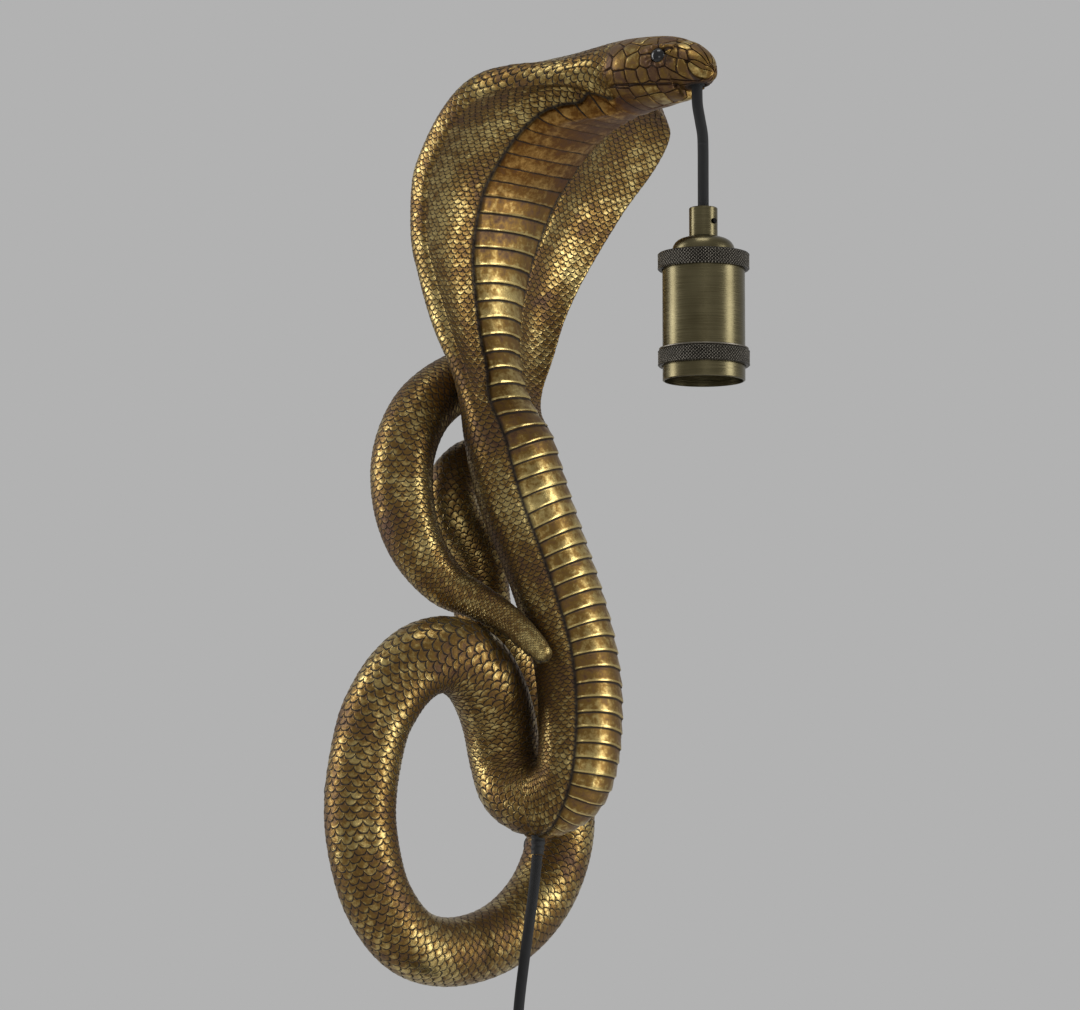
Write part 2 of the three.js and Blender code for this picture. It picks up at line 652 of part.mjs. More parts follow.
// The boss is a disc that narrows like a cone into the casting
const BOSS_STEP = 0.4;
const bossAxis = (y) => new THREE.Vector3(0, y, plateMiddleZ);
const bossDisc = plate(disc(BOSS_RADIUS, plateMiddleZ), bossFace - BOSS_FACE_DEPTH, BOSS_FACE_DEPTH, 24);
const bossCone = bar(
  bossAxis(bossFace - BOSS_FACE_DEPTH + BOSS_STEP),
  bossAxis(bossFace - BOSS_DEPTH),
  BOSS_RADIUS - BOSS_STEP,
  32,
  BOSS_ROOT_RADIUS,
);
addPiece('tail_casting', shaped(bodySkin(SEAM_TAIL, bodyRows.length - 1, 2), {
  add: [bossDisc, bossCone],
  cut: [dowelBore(SEAM_TAIL), plateBed, screwPocket, screwBore(-1), screwBore(1)],
}), 'castGold');

addPiece('eye_left', ball(eyeAt(-1), EYE_RADIUS), 'glassEye');
addPiece('eye_right', ball(eyeAt(1), EYE_RADIUS), 'glassEye');

// Seams: a steel sleeve round the lead, and two dowels

addPiece('seam_sleeve', shaped(bar(...sleeveEnds(SLEEVE_LENGTH), SLEEVE_RADIUS), { cut: [channel()] }), 'steel');
addPiece('coil_dowel', bar(...dowelEnds(SEAM_BODY, DOWEL_LENGTH), DOWEL_RADIUS, 12), 'steel');
addPiece('tail_dowel', bar(...dowelEnds(SEAM_TAIL, DOWEL_LENGTH), DOWEL_RADIUS, 12), 'steel');

// Keyhole hanger

const plateShape = disc(PLATE_RADIUS, plateMiddleZ);
plateShape.holes.push(keyholeOutline(new THREE.Path(), KEYHOLE_HEAD_RADIUS, KEYHOLE_NECK_RADIUS));
addPiece('hanger_plate', shaped(plate(plateShape, plateBack, PLATE_THICKNESS), {
  cut: [screwBore(-1), screwBore(1)],
}), 'steel');

for (const [name, way] of [['hanger_screw_left', -1], ['hanger_screw_right', 1]]) {
  const foot = plateScrewAt(way).setY(plateBack - PLATE_SCREW_LENGTH + SEAT_GAP);
  const neck = plateScrewAt(way).setY(plateFace);
  const head = bar(neck.clone().setY(plateFace + SEAT_GAP), neck.clone().setY(-SEAT_GAP), PLATE_SCREW_HEAD, 12);
  const shank = bar(foot, neck.clone().setY(-SEAT_GAP - 0.1), PLATE_SCREW_RADIUS, 10);
  addPiece(name, shaped(shank, { add: [head] }), 'steel');
}

for (const row of BUMPER_SPOTS) {
  const [x, y, z, radius] = COIL_ROWS[row];
  const back = y + radius + SEAT_GAP;
  const name = `wall_bumper_${BUMPER_SPOTS.indexOf(row) + 1}`;
  addPiece(name, bar(new THREE.Vector3(x, back, z), new THREE.Vector3(x, 0, z), BUMPER_RADIUS), 'rubber');
}

// The lead inside the castings, the bush in the mouth and the strain relief

addPiece('inner_lead', tubeAlong(innerLine, CORD_RADIUS, INNER_LEAD_SIDES), 'textileCord');
const bushBottom = MOUTH_Z + INNER_LEAD_GAP;
addPiece('mouth_bush', turned(
  ringProfile(CORD_RADIUS + SEAT_GAP, MOUTH_HOLE_RADIUS - SEAT_GAP, bushBottom, bushBottom + BUSH_LENGTH),
  HOOD_PLANE_X,
  MOUTH_Y,
  16,
), 'rubber');

const leadWay = reliefTip.clone().sub(reliefTop).normalize();
addPiece('strain_relief', shaped(bar(reliefTop, reliefTip, RELIEF_ROOT_RADIUS, 16, RELIEF_TIP_RADIUS), {
  cut: [bar(
    reliefTop.clone().addScaledVector(leadWay, -1),
    reliefTip.clone().addScaledVector(leadWay, 1),
    CORD_RADIUS + SEAT_GAP / 2,
    CORD_SIDES,
  )],
}), 'rubber');

// Pendant cord, in two halves that swing about their rounded upper ends

const cordMiddle = new THREE.Vector3(HOOD_PLANE_X, HOLDER_Y, CORD_MIDDLE_Z);
const upperHalf = [
  mouth.clone(),
  new THREE.Vector3(HOOD_PLANE_X, MOUTH_Y - 0.3, MOUTH_Z - 7),
  new THREE.Vector3(HOOD_PLANE_X, MOUTH_Y - 2, MOUTH_Z - 15),
  new THREE.Vector3(HOOD_PLANE_X, HOLDER_Y + 0.3, MOUTH_Z - 23),
  cordMiddle.clone().setZ(CORD_MIDDLE_Z + INNER_LEAD_GAP),
];
addPiece('pendant_cord_upper', shaped(cordTube(upperHalf, CORD_RADIUS, 8), {
  add: [ball(mouth, CORD_RADIUS, CORD_SIDES, 6)],
}), 'textileCord');

const NIPPLE_TOP_Z = GRIP_TOP_Z - GRIP_LENGTH + NIPPLE_IN_GRIP;
const NIPPLE_BOTTOM_Z = NIPPLE_TOP_Z - NIPPLE_LENGTH;
const cordEnd = cordMiddle.clone().setZ(NIPPLE_BOTTOM_Z + 1);
addPiece('pendant_cord_lower', shaped(bar(cordMiddle, cordEnd, CORD_RADIUS, CORD_SIDES), {
  add: [ball(cordMiddle, CORD_RADIUS, CORD_SIDES, 6)],
}), 'textileCord');

// Lampholder

const holder = (profile, segments) => turned(profile, HOOD_PLANE_X, HOLDER_Y, segments);
const gripBottom = GRIP_TOP_Z - GRIP_LENGTH;
const shellTop = gripBottom - DOME_HEIGHT - SEAT_GAP - WALL;
const grubAt = (out) => new THREE.Vector3(HOOD_PLANE_X, HOLDER_Y - out, GRIP_TOP_Z - GRUB_DROP);
addPiece('cord_grip', shaped(holder([
  [GRIP_BORE_RADIUS, NIPPLE_TOP_Z + SEAT_GAP],
  [NIPPLE_RADIUS + SEAT_GAP, NIPPLE_TOP_Z + SEAT_GAP],
  [NIPPLE_RADIUS + SEAT_GAP, gripBottom],
  [GRIP_RADIUS, gripBottom],
  [GRIP_RADIUS, GRIP_TOP_Z - EDGE_EASE],
  [GRIP_RADIUS - EDGE_EASE, GRIP_TOP_Z],
  [GRIP_BORE_RADIUS, GRIP_TOP_Z],
  [GRIP_BORE_RADIUS, NIPPLE_TOP_Z + SEAT_GAP],
]), { cut: [bar(grubAt(0), grubAt(GRIP_RADIUS + 2), GRUB_RADIUS + SEAT_GAP, 12)] }), 'brass');
const grubEnds = [grubAt(GRIP_BORE_RADIUS - 0.1), grubAt(GRIP_RADIUS + GRUB_PROUD)];
addPiece('grub_screw', bar(...grubEnds, GRUB_RADIUS, 12), 'steel');
addPiece('threaded_nipple', holder(
  ringProfile(NIPPLE_BORE_RADIUS, NIPPLE_RADIUS, NIPPLE_BOTTOM_Z, NIPPLE_TOP_Z),
  20,
), 'steel');

const domeTop = gripBottom - SEAT_GAP;
const domeBottom = gripBottom - DOME_HEIGHT;
const capFlangeZ = domeBottom - SEAT_GAP - WALL;
const capSkirtRadius = SHELL_RADIUS - WALL - SEAT_GAP;
const nippleHole = NIPPLE_RADIUS + SEAT_GAP;
addPiece('dome_cap', holder([
  [nippleHole, domeTop],
  [GRIP_RADIUS + 1.2, domeTop - 0.2],
  [DOME_RADIUS - 3.2, domeTop - 1.6],
  [DOME_RADIUS - 0.8, domeTop - 3.8],
  [DOME_RADIUS, domeBottom],
  [DOME_RADIUS, capFlangeZ + WALL],
  [capSkirtRadius, capFlangeZ + WALL],
  [capSkirtRadius, capFlangeZ - CAP_SKIRT],
  [capSkirtRadius - WALL, capFlangeZ - CAP_SKIRT],
  [capSkirtRadius - WALL, capFlangeZ],
  [DOME_RADIUS - WALL, capFlangeZ],
  [DOME_RADIUS - 0.8 - WALL, domeTop - 4.4],
  [DOME_RADIUS - 3.2 - WALL * 0.8, domeTop - 1.6 - WALL],
  [GRIP_RADIUS + 1.2, domeTop - 0.2 - WALL],
  [nippleHole, domeTop - WALL],
  [nippleHole, domeTop],
]), 'brass');

const NUT_RADIUS = 7.6;
const NUT_THICKNESS = 3.5;
const nutTop = domeTop - WALL - SEAT_GAP;
const onHolderAxis = (z) => new THREE.Vector3(HOOD_PLANE_X, HOLDER_Y, z);
addPiece('nipple_nut', shaped(bar(onHolderAxis(nutTop - NUT_THICKNESS), onHolderAxis(nutTop), NUT_RADIUS, 6), {
  cut: [bar(onHolderAxis(nutTop - NUT_THICKNESS - 1), onHolderAxis(nutTop + 1), nippleHole, 20)],
}), 'steel');

const ringBore = SHELL_RADIUS + SEAT_GAP;
const ringRadius = ringBore + RING_WALL;
const ringTop = domeBottom + RING_LIP;
const ringBottom = ringTop - RING_HEIGHT;
addPiece('upper_ring', holder([
  [DOME_RADIUS + SEAT_GAP, ringTop - RING_LIP],
  [DOME_RADIUS + SEAT_GAP, ringTop],
  [ringRadius - EDGE_EASE, ringTop],
  [ringRadius, ringTop - EDGE_EASE],
  [ringRadius, ringBottom + EDGE_EASE],
  [ringRadius - EDGE_EASE, ringBottom],
  [ringBore, ringBottom],
  [ringBore, ringTop - RING_LIP],
  [DOME_RADIUS + SEAT_GAP, ringTop - RING_LIP],
]), 'darkBrass');

addPiece('outer_shell', holder([
  [SHELL_RADIUS - WALL, SHELL_BOTTOM_Z],
  [SHELL_RADIUS, SHELL_BOTTOM_Z],
  [SHELL_RADIUS, shellTop],
  [SHELL_RADIUS - WALL, shellTop],
  [SHELL_RADIUS - WALL, SHELL_BOTTOM_Z],
]), 'brass');

const washerBottom = SHADE_RING_TOP_Z + SEAT_GAP;
addPiece('shade_washer', holder(
  ringProfile(ringBore, ringRadius - EDGE_EASE, washerBottom, washerBottom + SHADE_WASHER_THICKNESS),
), 'darkBrass');
const shadeRingBottom = SHADE_RING_TOP_Z - SHADE_RING_HEIGHT;
addPiece('shade_ring', holder([
  [ringBore, shadeRingBottom],
  [ringRadius - EDGE_EASE, shadeRingBottom],
  [ringRadius, shadeRingBottom + EDGE_EASE],
  [ringRadius, SHADE_RING_TOP_Z - EDGE_EASE],
  [ringRadius - EDGE_EASE, SHADE_RING_TOP_Z],
  [ringBore, SHADE_RING_TOP_Z],
  [ringBore, shadeRingBottom],
]), 'darkBrass');

// Inside the shell: the insulator, the lamp thread and its contacts

const insulatorRadius = SHELL_RADIUS - WALL - SEAT_GAP;
const insulatorBore = insulatorRadius - INSULATOR_WALL;
const threadOutside = LAMP_THREAD_RADIUS + LAMP_THREAD_WALL;
const cavityTop = INSULATOR_TOP_Z - INSULATOR_BASE;
addPiece('insulator', holder([
  [0, cavityTop],
  [threadOutside + SEAT_GAP, cavityTop],
  [threadOutside + SEAT_GAP, INSULATOR_BOTTOM_Z + 2],
  [insulatorBore, INSULATOR_BOTTOM_Z],
  [insulatorRadius, INSULATOR_BOTTOM_Z],
  [insulatorRadius, INSULATOR_TOP_Z - 2],
  [insulatorRadius - 2, INSULATOR_TOP_Z],
  [0, INSULATOR_TOP_Z],
]), 'porcelain');

const threadTop = cavityTop - SEAT_GAP - THREAD_DROP;
addPiece('lamp_thread', holder(
  ringProfile(LAMP_THREAD_RADIUS, threadOutside, threadTop - LAMP_THREAD_LENGTH, threadTop),
), 'brass');

const contactTop = cavityTop - SEAT_GAP;
addPiece('centre_contact', holder([
  [0, contactTop],
  [CONTACT_RADIUS, contactTop],
  [CONTACT_RADIUS, contactTop - 1],
  [CONTACT_TIP_RADIUS, contactTop - CONTACT_HEIGHT],
  [0, contactTop - CONTACT_HEIGHT],
], 16), 'brass');

for (const [name, way] of [['terminal_screw_live', 1], ['terminal_screw_neutral', -1]]) {
  const foot = new THREE.Vector3(HOOD_PLANE_X + way * TERMINAL_SPREAD, HOLDER_Y, INSULATOR_TOP_Z + SEAT_GAP);
  addPiece(name, bar(foot, foot.clone().setZ(foot.z + TERMINAL_HEIGHT), TERMINAL_RADIUS, 12), 'steel');
}

const CORE_RADIUS = 0.9;
for (const [name, way] of [['core_live', 1], ['core_neutral', -1]]) {
  const start = cordEnd.clone().setX(HOOD_PLANE_X + way * 1.4).setZ(cordEnd.z - SEAT_GAP);
  const end = new THREE.Vector3(
    HOOD_PLANE_X + way * (TERMINAL_SPREAD - TERMINAL_RADIUS - CORE_RADIUS - SEAT_GAP),
    HOLDER_Y,
    INSULATOR_TOP_Z + SEAT_GAP + CORE_RADIUS,
  );
  const bend = start.clone().lerp(end, 0.4).setZ(end.z + 2.4);
  addPiece(name, cordTube([start, start.clone().setZ(start.z - 2), bend, end], CORE_RADIUS, 6, 6), 'rubber');
}

// Mains lead: hanging stretch, stored coil, switch, last stretch and plug

const coilEntry = point(COIL_ENTRY);
const coilTurns = COIL_TURNS_PER_LAYER * COIL_LAYERS;
const CLIMB_TURNS = 0.25;
const coilOuterRadius = COIL_INNER_RADIUS + COIL_TURN_PITCH * (COIL_TURNS_PER_LAYER - CLIMB_TURNS);
const coilMiddle = coilEntry.clone().setX(coilEntry.x - coilOuterRadius);

// The turns spiral in and out at a steady rate and climb a layer in the half turn where they reverse
function coilPoint(turns) {
  const layer = Math.min(Math.floor(turns / COIL_TURNS_PER_LAYER + 1e-9), COIL_LAYERS - 1);
  const within = turns - layer * COIL_TURNS_PER_LAYER;
  const start = layer === 0 ? 0 : CLIMB_TURNS;
  const stop = COIL_TURNS_PER_LAYER - (layer === COIL_LAYERS - 1 ? 0 : CLIMB_TURNS);
  const travel = THREE.MathUtils.clamp(within, start, stop);
  const radius = COIL_INNER_RADIUS + COIL_TURN_PITCH * (layer % 2 === 0 ? stop - travel : travel - start);
  let climb = 0;
  if (within < start) climb = (start - within) / (2 * CLIMB_TURNS);
  if (within > stop) climb = (stop - within) / (2 * CLIMB_TURNS);
  const depth = COIL_LAYER_PITCH * (layer - climb);
  const angle = -turns * Math.PI * 2;
  return new THREE.Vector3(
    coilMiddle.x + radius * Math.cos(angle),
    coilEntry.y + depth,
    coilMiddle.z + radius * Math.sin(angle),
  );
}

const coilLine = [];
for (let k = 0; k <= coilTurns * COIL_STEPS; k += 1) coilLine.push(coilPoint(k / COIL_STEPS));
coilLine.unshift(coilLine[0].clone().setZ(coilLine[0].z + 2 * CORD_RADIUS));
coilLine.push(coilLine[coilLine.length - 1].clone());
coilLine[coilLine.length - 1].z -= 2 * CORD_RADIUS;
const coilExit = coilLine[coilLine.length - 1].clone();

let leastGap = Infinity;
const SAME_TURN = Math.round(COIL_STEPS * 0.4);
for (let i = 0; i < coilLine.length; i += 1) {
  for (let j = i + SAME_TURN; j < coilLine.length; j += 1) {
    leastGap = Math.min(leastGap, coilLine[i].distanceTo(coilLine[j]) - 2 * CORD_RADIUS);
  }
}
let coilLength = 0;
for (let i = 1; i < coilLine.length; i += 1) coilLength += coilLine[i].distanceTo(coilLine[i - 1]);
console.log(`coil: ${coilLength.toFixed(0)} mm of lead, least gap to itself ${leastGap.toFixed(2)} mm`);

addPiece('lead_coil', tubeAlong(coilLine, CORD_RADIUS, COIL_SIDES), 'textileCord');

const hangRoute = [
  reliefTip.clone().addScaledVector(leadWay, SEAT_GAP),
  new THREE.Vector3(28.9, -60.2, -250),
  new THREE.Vector3(27.8, -57.3, -272),
  new THREE.Vector3(26.7, -54.4, -293),
  new THREE.Vector3(25.7, -51.9, -314),
  new THREE.Vector3(25.1, -50.4, -335),
  new THREE.Vector3(25, -50, -352),
  coilEntry.clone().setZ(coilLine[0].z + SEAT_GAP),
];
addPiece('mains_lead', cordTube(hangRoute, CORD_RADIUS, 14), 'textileCord');

const hang = (x, y, z) => new THREE.Vector3(coilExit.x + x, coilExit.y + y, z);
const switchTop = coilExit.z - SWITCH_DROP;
const switchBottom = switchTop - SWITCH_LENGTH;
const plugTop = switchBottom - PLUG_LEAD;
const straightLeads = [['switch_lead', coilExit.z, switchTop], ['plug_lead', switchBottom, plugTop]];
for (const [name, top, bottom] of straightLeads) {
  const ends = [hang(0, 0, top - SEAT_GAP), hang(0, 0, bottom + SEAT_GAP)];
  addPiece(name, bar(...ends, CORD_RADIUS, CORD_SIDES), 'textileCord');
}

// The tie goes round the whole bundle at the top of the coil
const bundleRadial = coilOuterRadius - COIL_INNER_RADIUS + 2 * CORD_RADIUS + 2 * SEAT_GAP + 1;
const bundleDepth = COIL_LAYER_PITCH * (COIL_LAYERS - 1) + 2 * CORD_RADIUS + 2 * SEAT_GAP;
const tieOutline = roundedBox(bundleDepth + 2 * TIE_THICKNESS, bundleRadial + 2 * TIE_THICKNESS, 4);
tieOutline.holes.push(new THREE.Path(roundedBox(bundleDepth, bundleRadial, 3).getPoints(4)));
const tie = new THREE.ExtrudeGeometry(tieOutline, { depth: TIE_WIDTH, bevelEnabled: false, curveSegments: 4 });
tie.rotateX(Math.PI / 2).rotateZ(Math.PI / 2).translate(
  coilMiddle.x - TIE_WIDTH / 2,
  coilEntry.y + COIL_LAYER_PITCH * (COIL_LAYERS - 1) / 2,
  coilMiddle.z + (coilOuterRadius + COIL_INNER_RADIUS) / 2,
);
addPiece('lead_tie', tie, 'tieCloth');

// Inline rocker switch: a base and a cover that meet in the middle, a rocker and two screws

const switchMiddle = hang(0, 0, (switchTop + switchBottom) / 2);
const switchHalf = (SWITCH_DEPTH - SEAT_GAP) / 2;
function switchCase(front) {
  const outline = roundedBox(SWITCH_WIDTH, SWITCH_LENGTH, 7);
  const y = front ? -SWITCH_DEPTH / 2 : SEAT_GAP / 2;
  return plate(outline, y, switchHalf, 5).translate(switchMiddle.x, switchMiddle.y, switchMiddle.z);
}
function switchRoom(front) {
  const outline = roundedBox(SWITCH_WIDTH - 2 * SWITCH_WALL, SWITCH_LENGTH - 2 * SWITCH_END_WALL, 4);
  const y = front ? -SWITCH_DEPTH / 2 + SWITCH_WALL : -1;
  const depth = switchHalf - SWITCH_WALL + 1;
  return plate(outline, y, depth, 3).translate(switchMiddle.x, switchMiddle.y, switchMiddle.z);
}
const rockerHole = new THREE.BoxGeometry(ROCKER_WIDTH + 2 * SEAT_GAP, SWITCH_DEPTH, ROCKER_LENGTH + 2)
  .translate(switchMiddle.x, switchMiddle.y - SWITCH_DEPTH / 2, switchMiddle.z);
const SCREW_PLACES = [1, -1].map((way) => ({
  x: switchMiddle.x + way * (SWITCH_WIDTH / 2 - SWITCH_SCREW_SIDE_INSET),
  z: switchMiddle.z + way * (SWITCH_LENGTH / 2 - SWITCH_SCREW_END_INSET),
}));
const caseBore = ({ x, z }) => bar(
  new THREE.Vector3(x, switchMiddle.y - SWITCH_DEPTH / 2 + 2.5, z),
  new THREE.Vector3(x, switchMiddle.y + SWITCH_DEPTH, z),
  SWITCH_SCREW_RADIUS + SEAT_GAP,
  10,
);
addPiece('switch_cover', shaped(switchCase(true), {
  cut: [switchRoom(true), rockerHole, ...SCREW_PLACES.map(caseBore)],
}), 'blackPlastic');
addPiece('switch_base', shaped(switchCase(false), {
  cut: [switchRoom(false), ...SCREW_PLACES.map(caseBore)],
}), 'blackPlastic');

// The rocker is drawn level about its pivot and then tipped, with its lower end pressed in
const rockerPivot = switchMiddle.clone().setY(switchMiddle.y - SWITCH_DEPTH / 2 + ROCKER_DEPTH);
const rockerShape = new THREE.Shape();
const rockerHalf = ROCKER_LENGTH / 2;
rockerShape.moveTo(-rockerHalf, -ROCKER_DEPTH - ROCKER_PROUD);
rockerShape.quadraticCurveTo(0, -ROCKER_DEPTH + 1.4, rockerHalf, -ROCKER_DEPTH - ROCKER_PROUD);
rockerShape.lineTo(rockerHalf, -ROCKER_DEPTH + 1.6);
rockerShape.lineTo(3, 1.6);
rockerShape.lineTo(-3, 1.6);
rockerShape.lineTo(-rockerHalf, -ROCKER_DEPTH + 1.6);
const rocker = new THREE.ExtrudeGeometry(rockerShape, {
  depth: ROCKER_WIDTH, bevelEnabled: false, curveSegments: 5,
});
rocker.translate(0, 0, -ROCKER_WIDTH / 2).rotateY(Math.PI / 2).rotateX(ROCKER_TIP * DEGREE);
rocker.translate(rockerPivot.x, rockerPivot.y, rockerPivot.z);
addPiece('switch_rocker', rocker, 'blackPlastic');

SCREW_PLACES.forEach(({ x, z }, i) => {
  const inner = new THREE.Vector3(x, switchMiddle.y - SWITCH_DEPTH / 2 + 3, z);
  const outer = new THREE.Vector3(x, switchMiddle.y + SWITCH_DEPTH / 2 - 0.2, z);
  addPiece(`switch_screw_${i + 1}`, bar(inner, outer, SWITCH_SCREW_RADIUS, 10), 'steel');
});

// Flat two-pin plug

const plugMiddle = hang(0, 0, plugTop - PLUG_LENGTH / 2);
const plugShape = new THREE.Shape();
const [plugHalf, plugBack] = [PLUG_WIDTH / 2, 7];
plugShape.moveTo(-plugHalf, -PLUG_LENGTH / 2);
plugShape.lineTo(plugHalf, -PLUG_LENGTH / 2);
plugShape.lineTo(plugHalf, 0);
plugShape.quadraticCurveTo(plugHalf, PLUG_LENGTH / 4, plugBack, PLUG_LENGTH / 2);
plugShape.lineTo(-plugBack, PLUG_LENGTH / 2);
plugShape.quadraticCurveTo(-plugHalf, PLUG_LENGTH / 4, -plugHalf, 0);
addPiece('plug_body', plate(plugShape, -PLUG_DEPTH / 2, PLUG_DEPTH, 6)
  .translate(plugMiddle.x, plugMiddle.y, plugMiddle.z), 'blackPlastic');
const plugFace = plugMiddle.z - PLUG_LENGTH / 2;
for (const [name, way] of [['plug_pin_left', -1], ['plug_pin_right', 1]]) {
  const root = hang(way * PIN_SPREAD / 2, 0, plugFace - SEAT_GAP);
  addPiece(name, bar(root, root.clone().setZ(root.z - PIN_LENGTH), PIN_RADIUS, 12), 'steel');
}

export default lamp;
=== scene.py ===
"""The looks of a cobra wall lamp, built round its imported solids. Lengths are in millimetres
inside the shape functions and become metres when a mesh is made."""

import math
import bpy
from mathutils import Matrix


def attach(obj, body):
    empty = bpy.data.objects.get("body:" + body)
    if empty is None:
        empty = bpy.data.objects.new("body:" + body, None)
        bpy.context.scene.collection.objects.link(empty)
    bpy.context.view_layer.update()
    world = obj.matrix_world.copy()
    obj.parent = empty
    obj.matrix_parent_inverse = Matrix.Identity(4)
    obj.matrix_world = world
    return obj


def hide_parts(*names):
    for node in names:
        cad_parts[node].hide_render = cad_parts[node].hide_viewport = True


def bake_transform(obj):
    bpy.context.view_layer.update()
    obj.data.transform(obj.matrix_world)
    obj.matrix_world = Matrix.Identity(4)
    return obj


bl_info = {
    "name": "Cobra wall lamp",
    "version": (1, 0, 0),
    "blender": (4, 5, 0),
    "location": "View3D > Sidebar > Cobra lamp",
    "description": "Builds the scaled skin, the lampholder, the cords and the studio of a cobra wall lamp",
    "category": "Object",
}

from functools import partial

import bpy
import numpy as np
from bpy.props import FloatProperty, FloatVectorProperty, IntProperty, PointerProperty, StringProperty
from mathutils import Vector

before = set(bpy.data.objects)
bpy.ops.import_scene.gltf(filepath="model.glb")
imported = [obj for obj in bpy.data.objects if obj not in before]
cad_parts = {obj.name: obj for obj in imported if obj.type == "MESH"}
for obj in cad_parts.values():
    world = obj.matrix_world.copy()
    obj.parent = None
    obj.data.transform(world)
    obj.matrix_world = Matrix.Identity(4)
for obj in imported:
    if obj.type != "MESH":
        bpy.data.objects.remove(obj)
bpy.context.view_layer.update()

MM = 0.001

# Where the lampholder and its cord hang, and the sizes of the cord and the knurled rings

HOOD_X = 6.0
HOLDER_Y = -203.7
MOUTH_Y = -199.7
CORD_RADIUS = 2.8
CORD_MEET_Z = 117
RING_RADIUS = 23.2
RING_BORE = 21.15
KNURL_TEETH = 84
KNURL_DEPTH = 0.45
KNURL_PITCH = 2 * math.pi * RING_RADIUS / KNURL_TEETH

# Places of the strain relief boot, wall boss, stored coil and grub screw, how far the lead
# hangs below its coil, and the number of the boot's ribs

BOOT_TOP = np.array([30.0, -63.0, -214.0])
BOOT_TIP = np.array([29.4, -61.6, -236.0])
BOOT_RIBS = 7
BOSS_PLACE = (0, 0, -3)
COIL_ENTRY = np.array([25.0, -50.0, -370.0])
LEAD_DROP = 121.5
GRUB_PLACE = (HOOD_X, HOLDER_Y - 7.9, 76.9)

# Eye: off the middle plane, y and z of its centre, and its radius

EYE = np.array([14.6, -187.0, 162.7])
EYE_RADIUS = 4.4

# Skin: depth under the solid before its relief, how narrow its hidden end rings are, rings that
# close the tail and the nose, and the margin round the map for baking

SKIN_DEPTH = 0.3
TUCK = 0.965
TIP_RINGS = 14
NOSE_RINGS = 10
BAKE_MARGIN = 0.002
SHARP_ANGLE = math.radians(32)

# Head: corners of a cross-section, the neck row where finer rings start and how much finer they
# are, millimetres to a degree round it, and from where to where as -y its plates take over from
# the scales and the belly plates fade

CORNERS = 32
HEAD_ROW = 14.5
HEAD_FINENESS = 0.55
HEAD_DEGREE = 17.5 * math.pi / 180
HEAD_BEGINS = (153.0, 158.5)
THROAT_ENDS = (160.0, 172.0)

# What the camera aims at, and the length of its lens

CAMERA_AIM = (33, -60, -52)
CAMERA_LENS = 158.1

# Middle line of the neck, hood and head: x, y, z, half width, belly offset, back offset,
# rim thickness and how far the section is a spread hood

NECK_ROWS = np.array([
    [9.5, -61.6, -25.1, 23.2, 23.2, 23.2, 12, 0],
    [7.7, -61.2, -13, 23.4, 18.5, 23.8, 12, 0.08],
    [6.7, -61, -1, 24.5, 11.5, 24.8, 12, 0.3],
    [6, -61.2, 12.4, 29, 5, 27, 12, 0.6],
    [6, -60, 29.8, 37.5, 2.5, 27.5, 13, 0.9],
    [6, -59.5, 46.3, 44.5, 2, 28, 14, 1],
    [6, -60.9, 63.7, 53, 1, 29, 14, 1],
    [6, -64, 79.1, 61, 0, 30, 14, 1],
    [6, -72.8, 99.7, 69.4, -1, 31, 14, 1],
    [6, -80.5, 111.7, 73, 0, 31.5, 14, 1],
    [6, -97.8, 130, 75.8, 3, 31, 14, 1],
    [6, -111.8, 143.5, 72, 9.5, 28, 14, 1],
    [6, -121, 149.5, 60, 13, 25, 14, 0.95],
    [6, -130, 153.5, 44, 16, 22.5, 13, 0.75],
    [6, -140, 157, 29, 18.5, 20.5, 12, 0.35],
    [6, -151, 159, 22, 19, 19.5, 12, 0],
    [6, -165, 159.3, 22.5, 18.5, 18.5, 12, 0],
    [6, -178, 159, 20, 17.5, 17.5, 12, 0],
    [6, -187, 158, 17.5, 16.2, 16.3, 12, 0],
    [6, -192.6, 157.2, 15.2, 15, 14.6, 12, 0],
    [6, -194.2, 157, 14.8, 10.6, 14.2, 12, 0],
    [6, -200, 155.5, 12, 9, 12, 12, 0],
    [6, -205, 154, 8.5, 7, 9, 12, 0],
    [6, -208, 153, 4.5, 4, 5, 12, 0],
])

# Middle line of the round body and its radius, from the neck seam to the tail

BODY_ROWS = [
    [9.5, -61.6, -25.1, 23.2], [16.5, -65, -51.2, 23.6], [25.2, -70, -77.3, 22.6],
    [32.8, -75, -103.4, 22.4], [38.1, -80, -129.7, 22], [38.6, -84, -157, 21.9],
]
TURN_MIDDLE = np.array([30.4, -64, -186])
TURN_HEADING = np.array([-0.252, 0.967, 0])
TURN_RADIUS = 22.0
TURN_BODY_RADII = [21, 19.9, 19.2, 18.9, 18.8]
COIL_ROWS = [
    [18.6, -44, -166.5, 19.2], [9, -46.3, -151.5, 19.5], [-3, -47, -139.6, 19.8],
    [-18, -44.5, -133.6, 19.8], [-31.5, -39.5, -136.2, 19.6], [-41.5, -33.5, -145.3, 19.2],
    [-49.5, -28.5, -159, 18.9], [-54.8, -24.5, -175.1, 18.6], [-59.2, -21.8, -204.6, 18.4],
    [-58.1, -21.6, -230.3, 18.3], [-47.2, -21.4, -259.7, 18], [-24.2, -21.2, -281.3, 17.9],
    [6.9, -21, -286.4, 17.8], [42.9, -21, -277.2, 17.8], [71.2, -21, -255.9, 17.7],
    [86.4, -21, -227.6, 17.6], [87.2, -21, -200.8, 17.3], [76.5, -21, -169.1, 16.9],
    [55.9, -20.5, -139.7, 16.3],
]
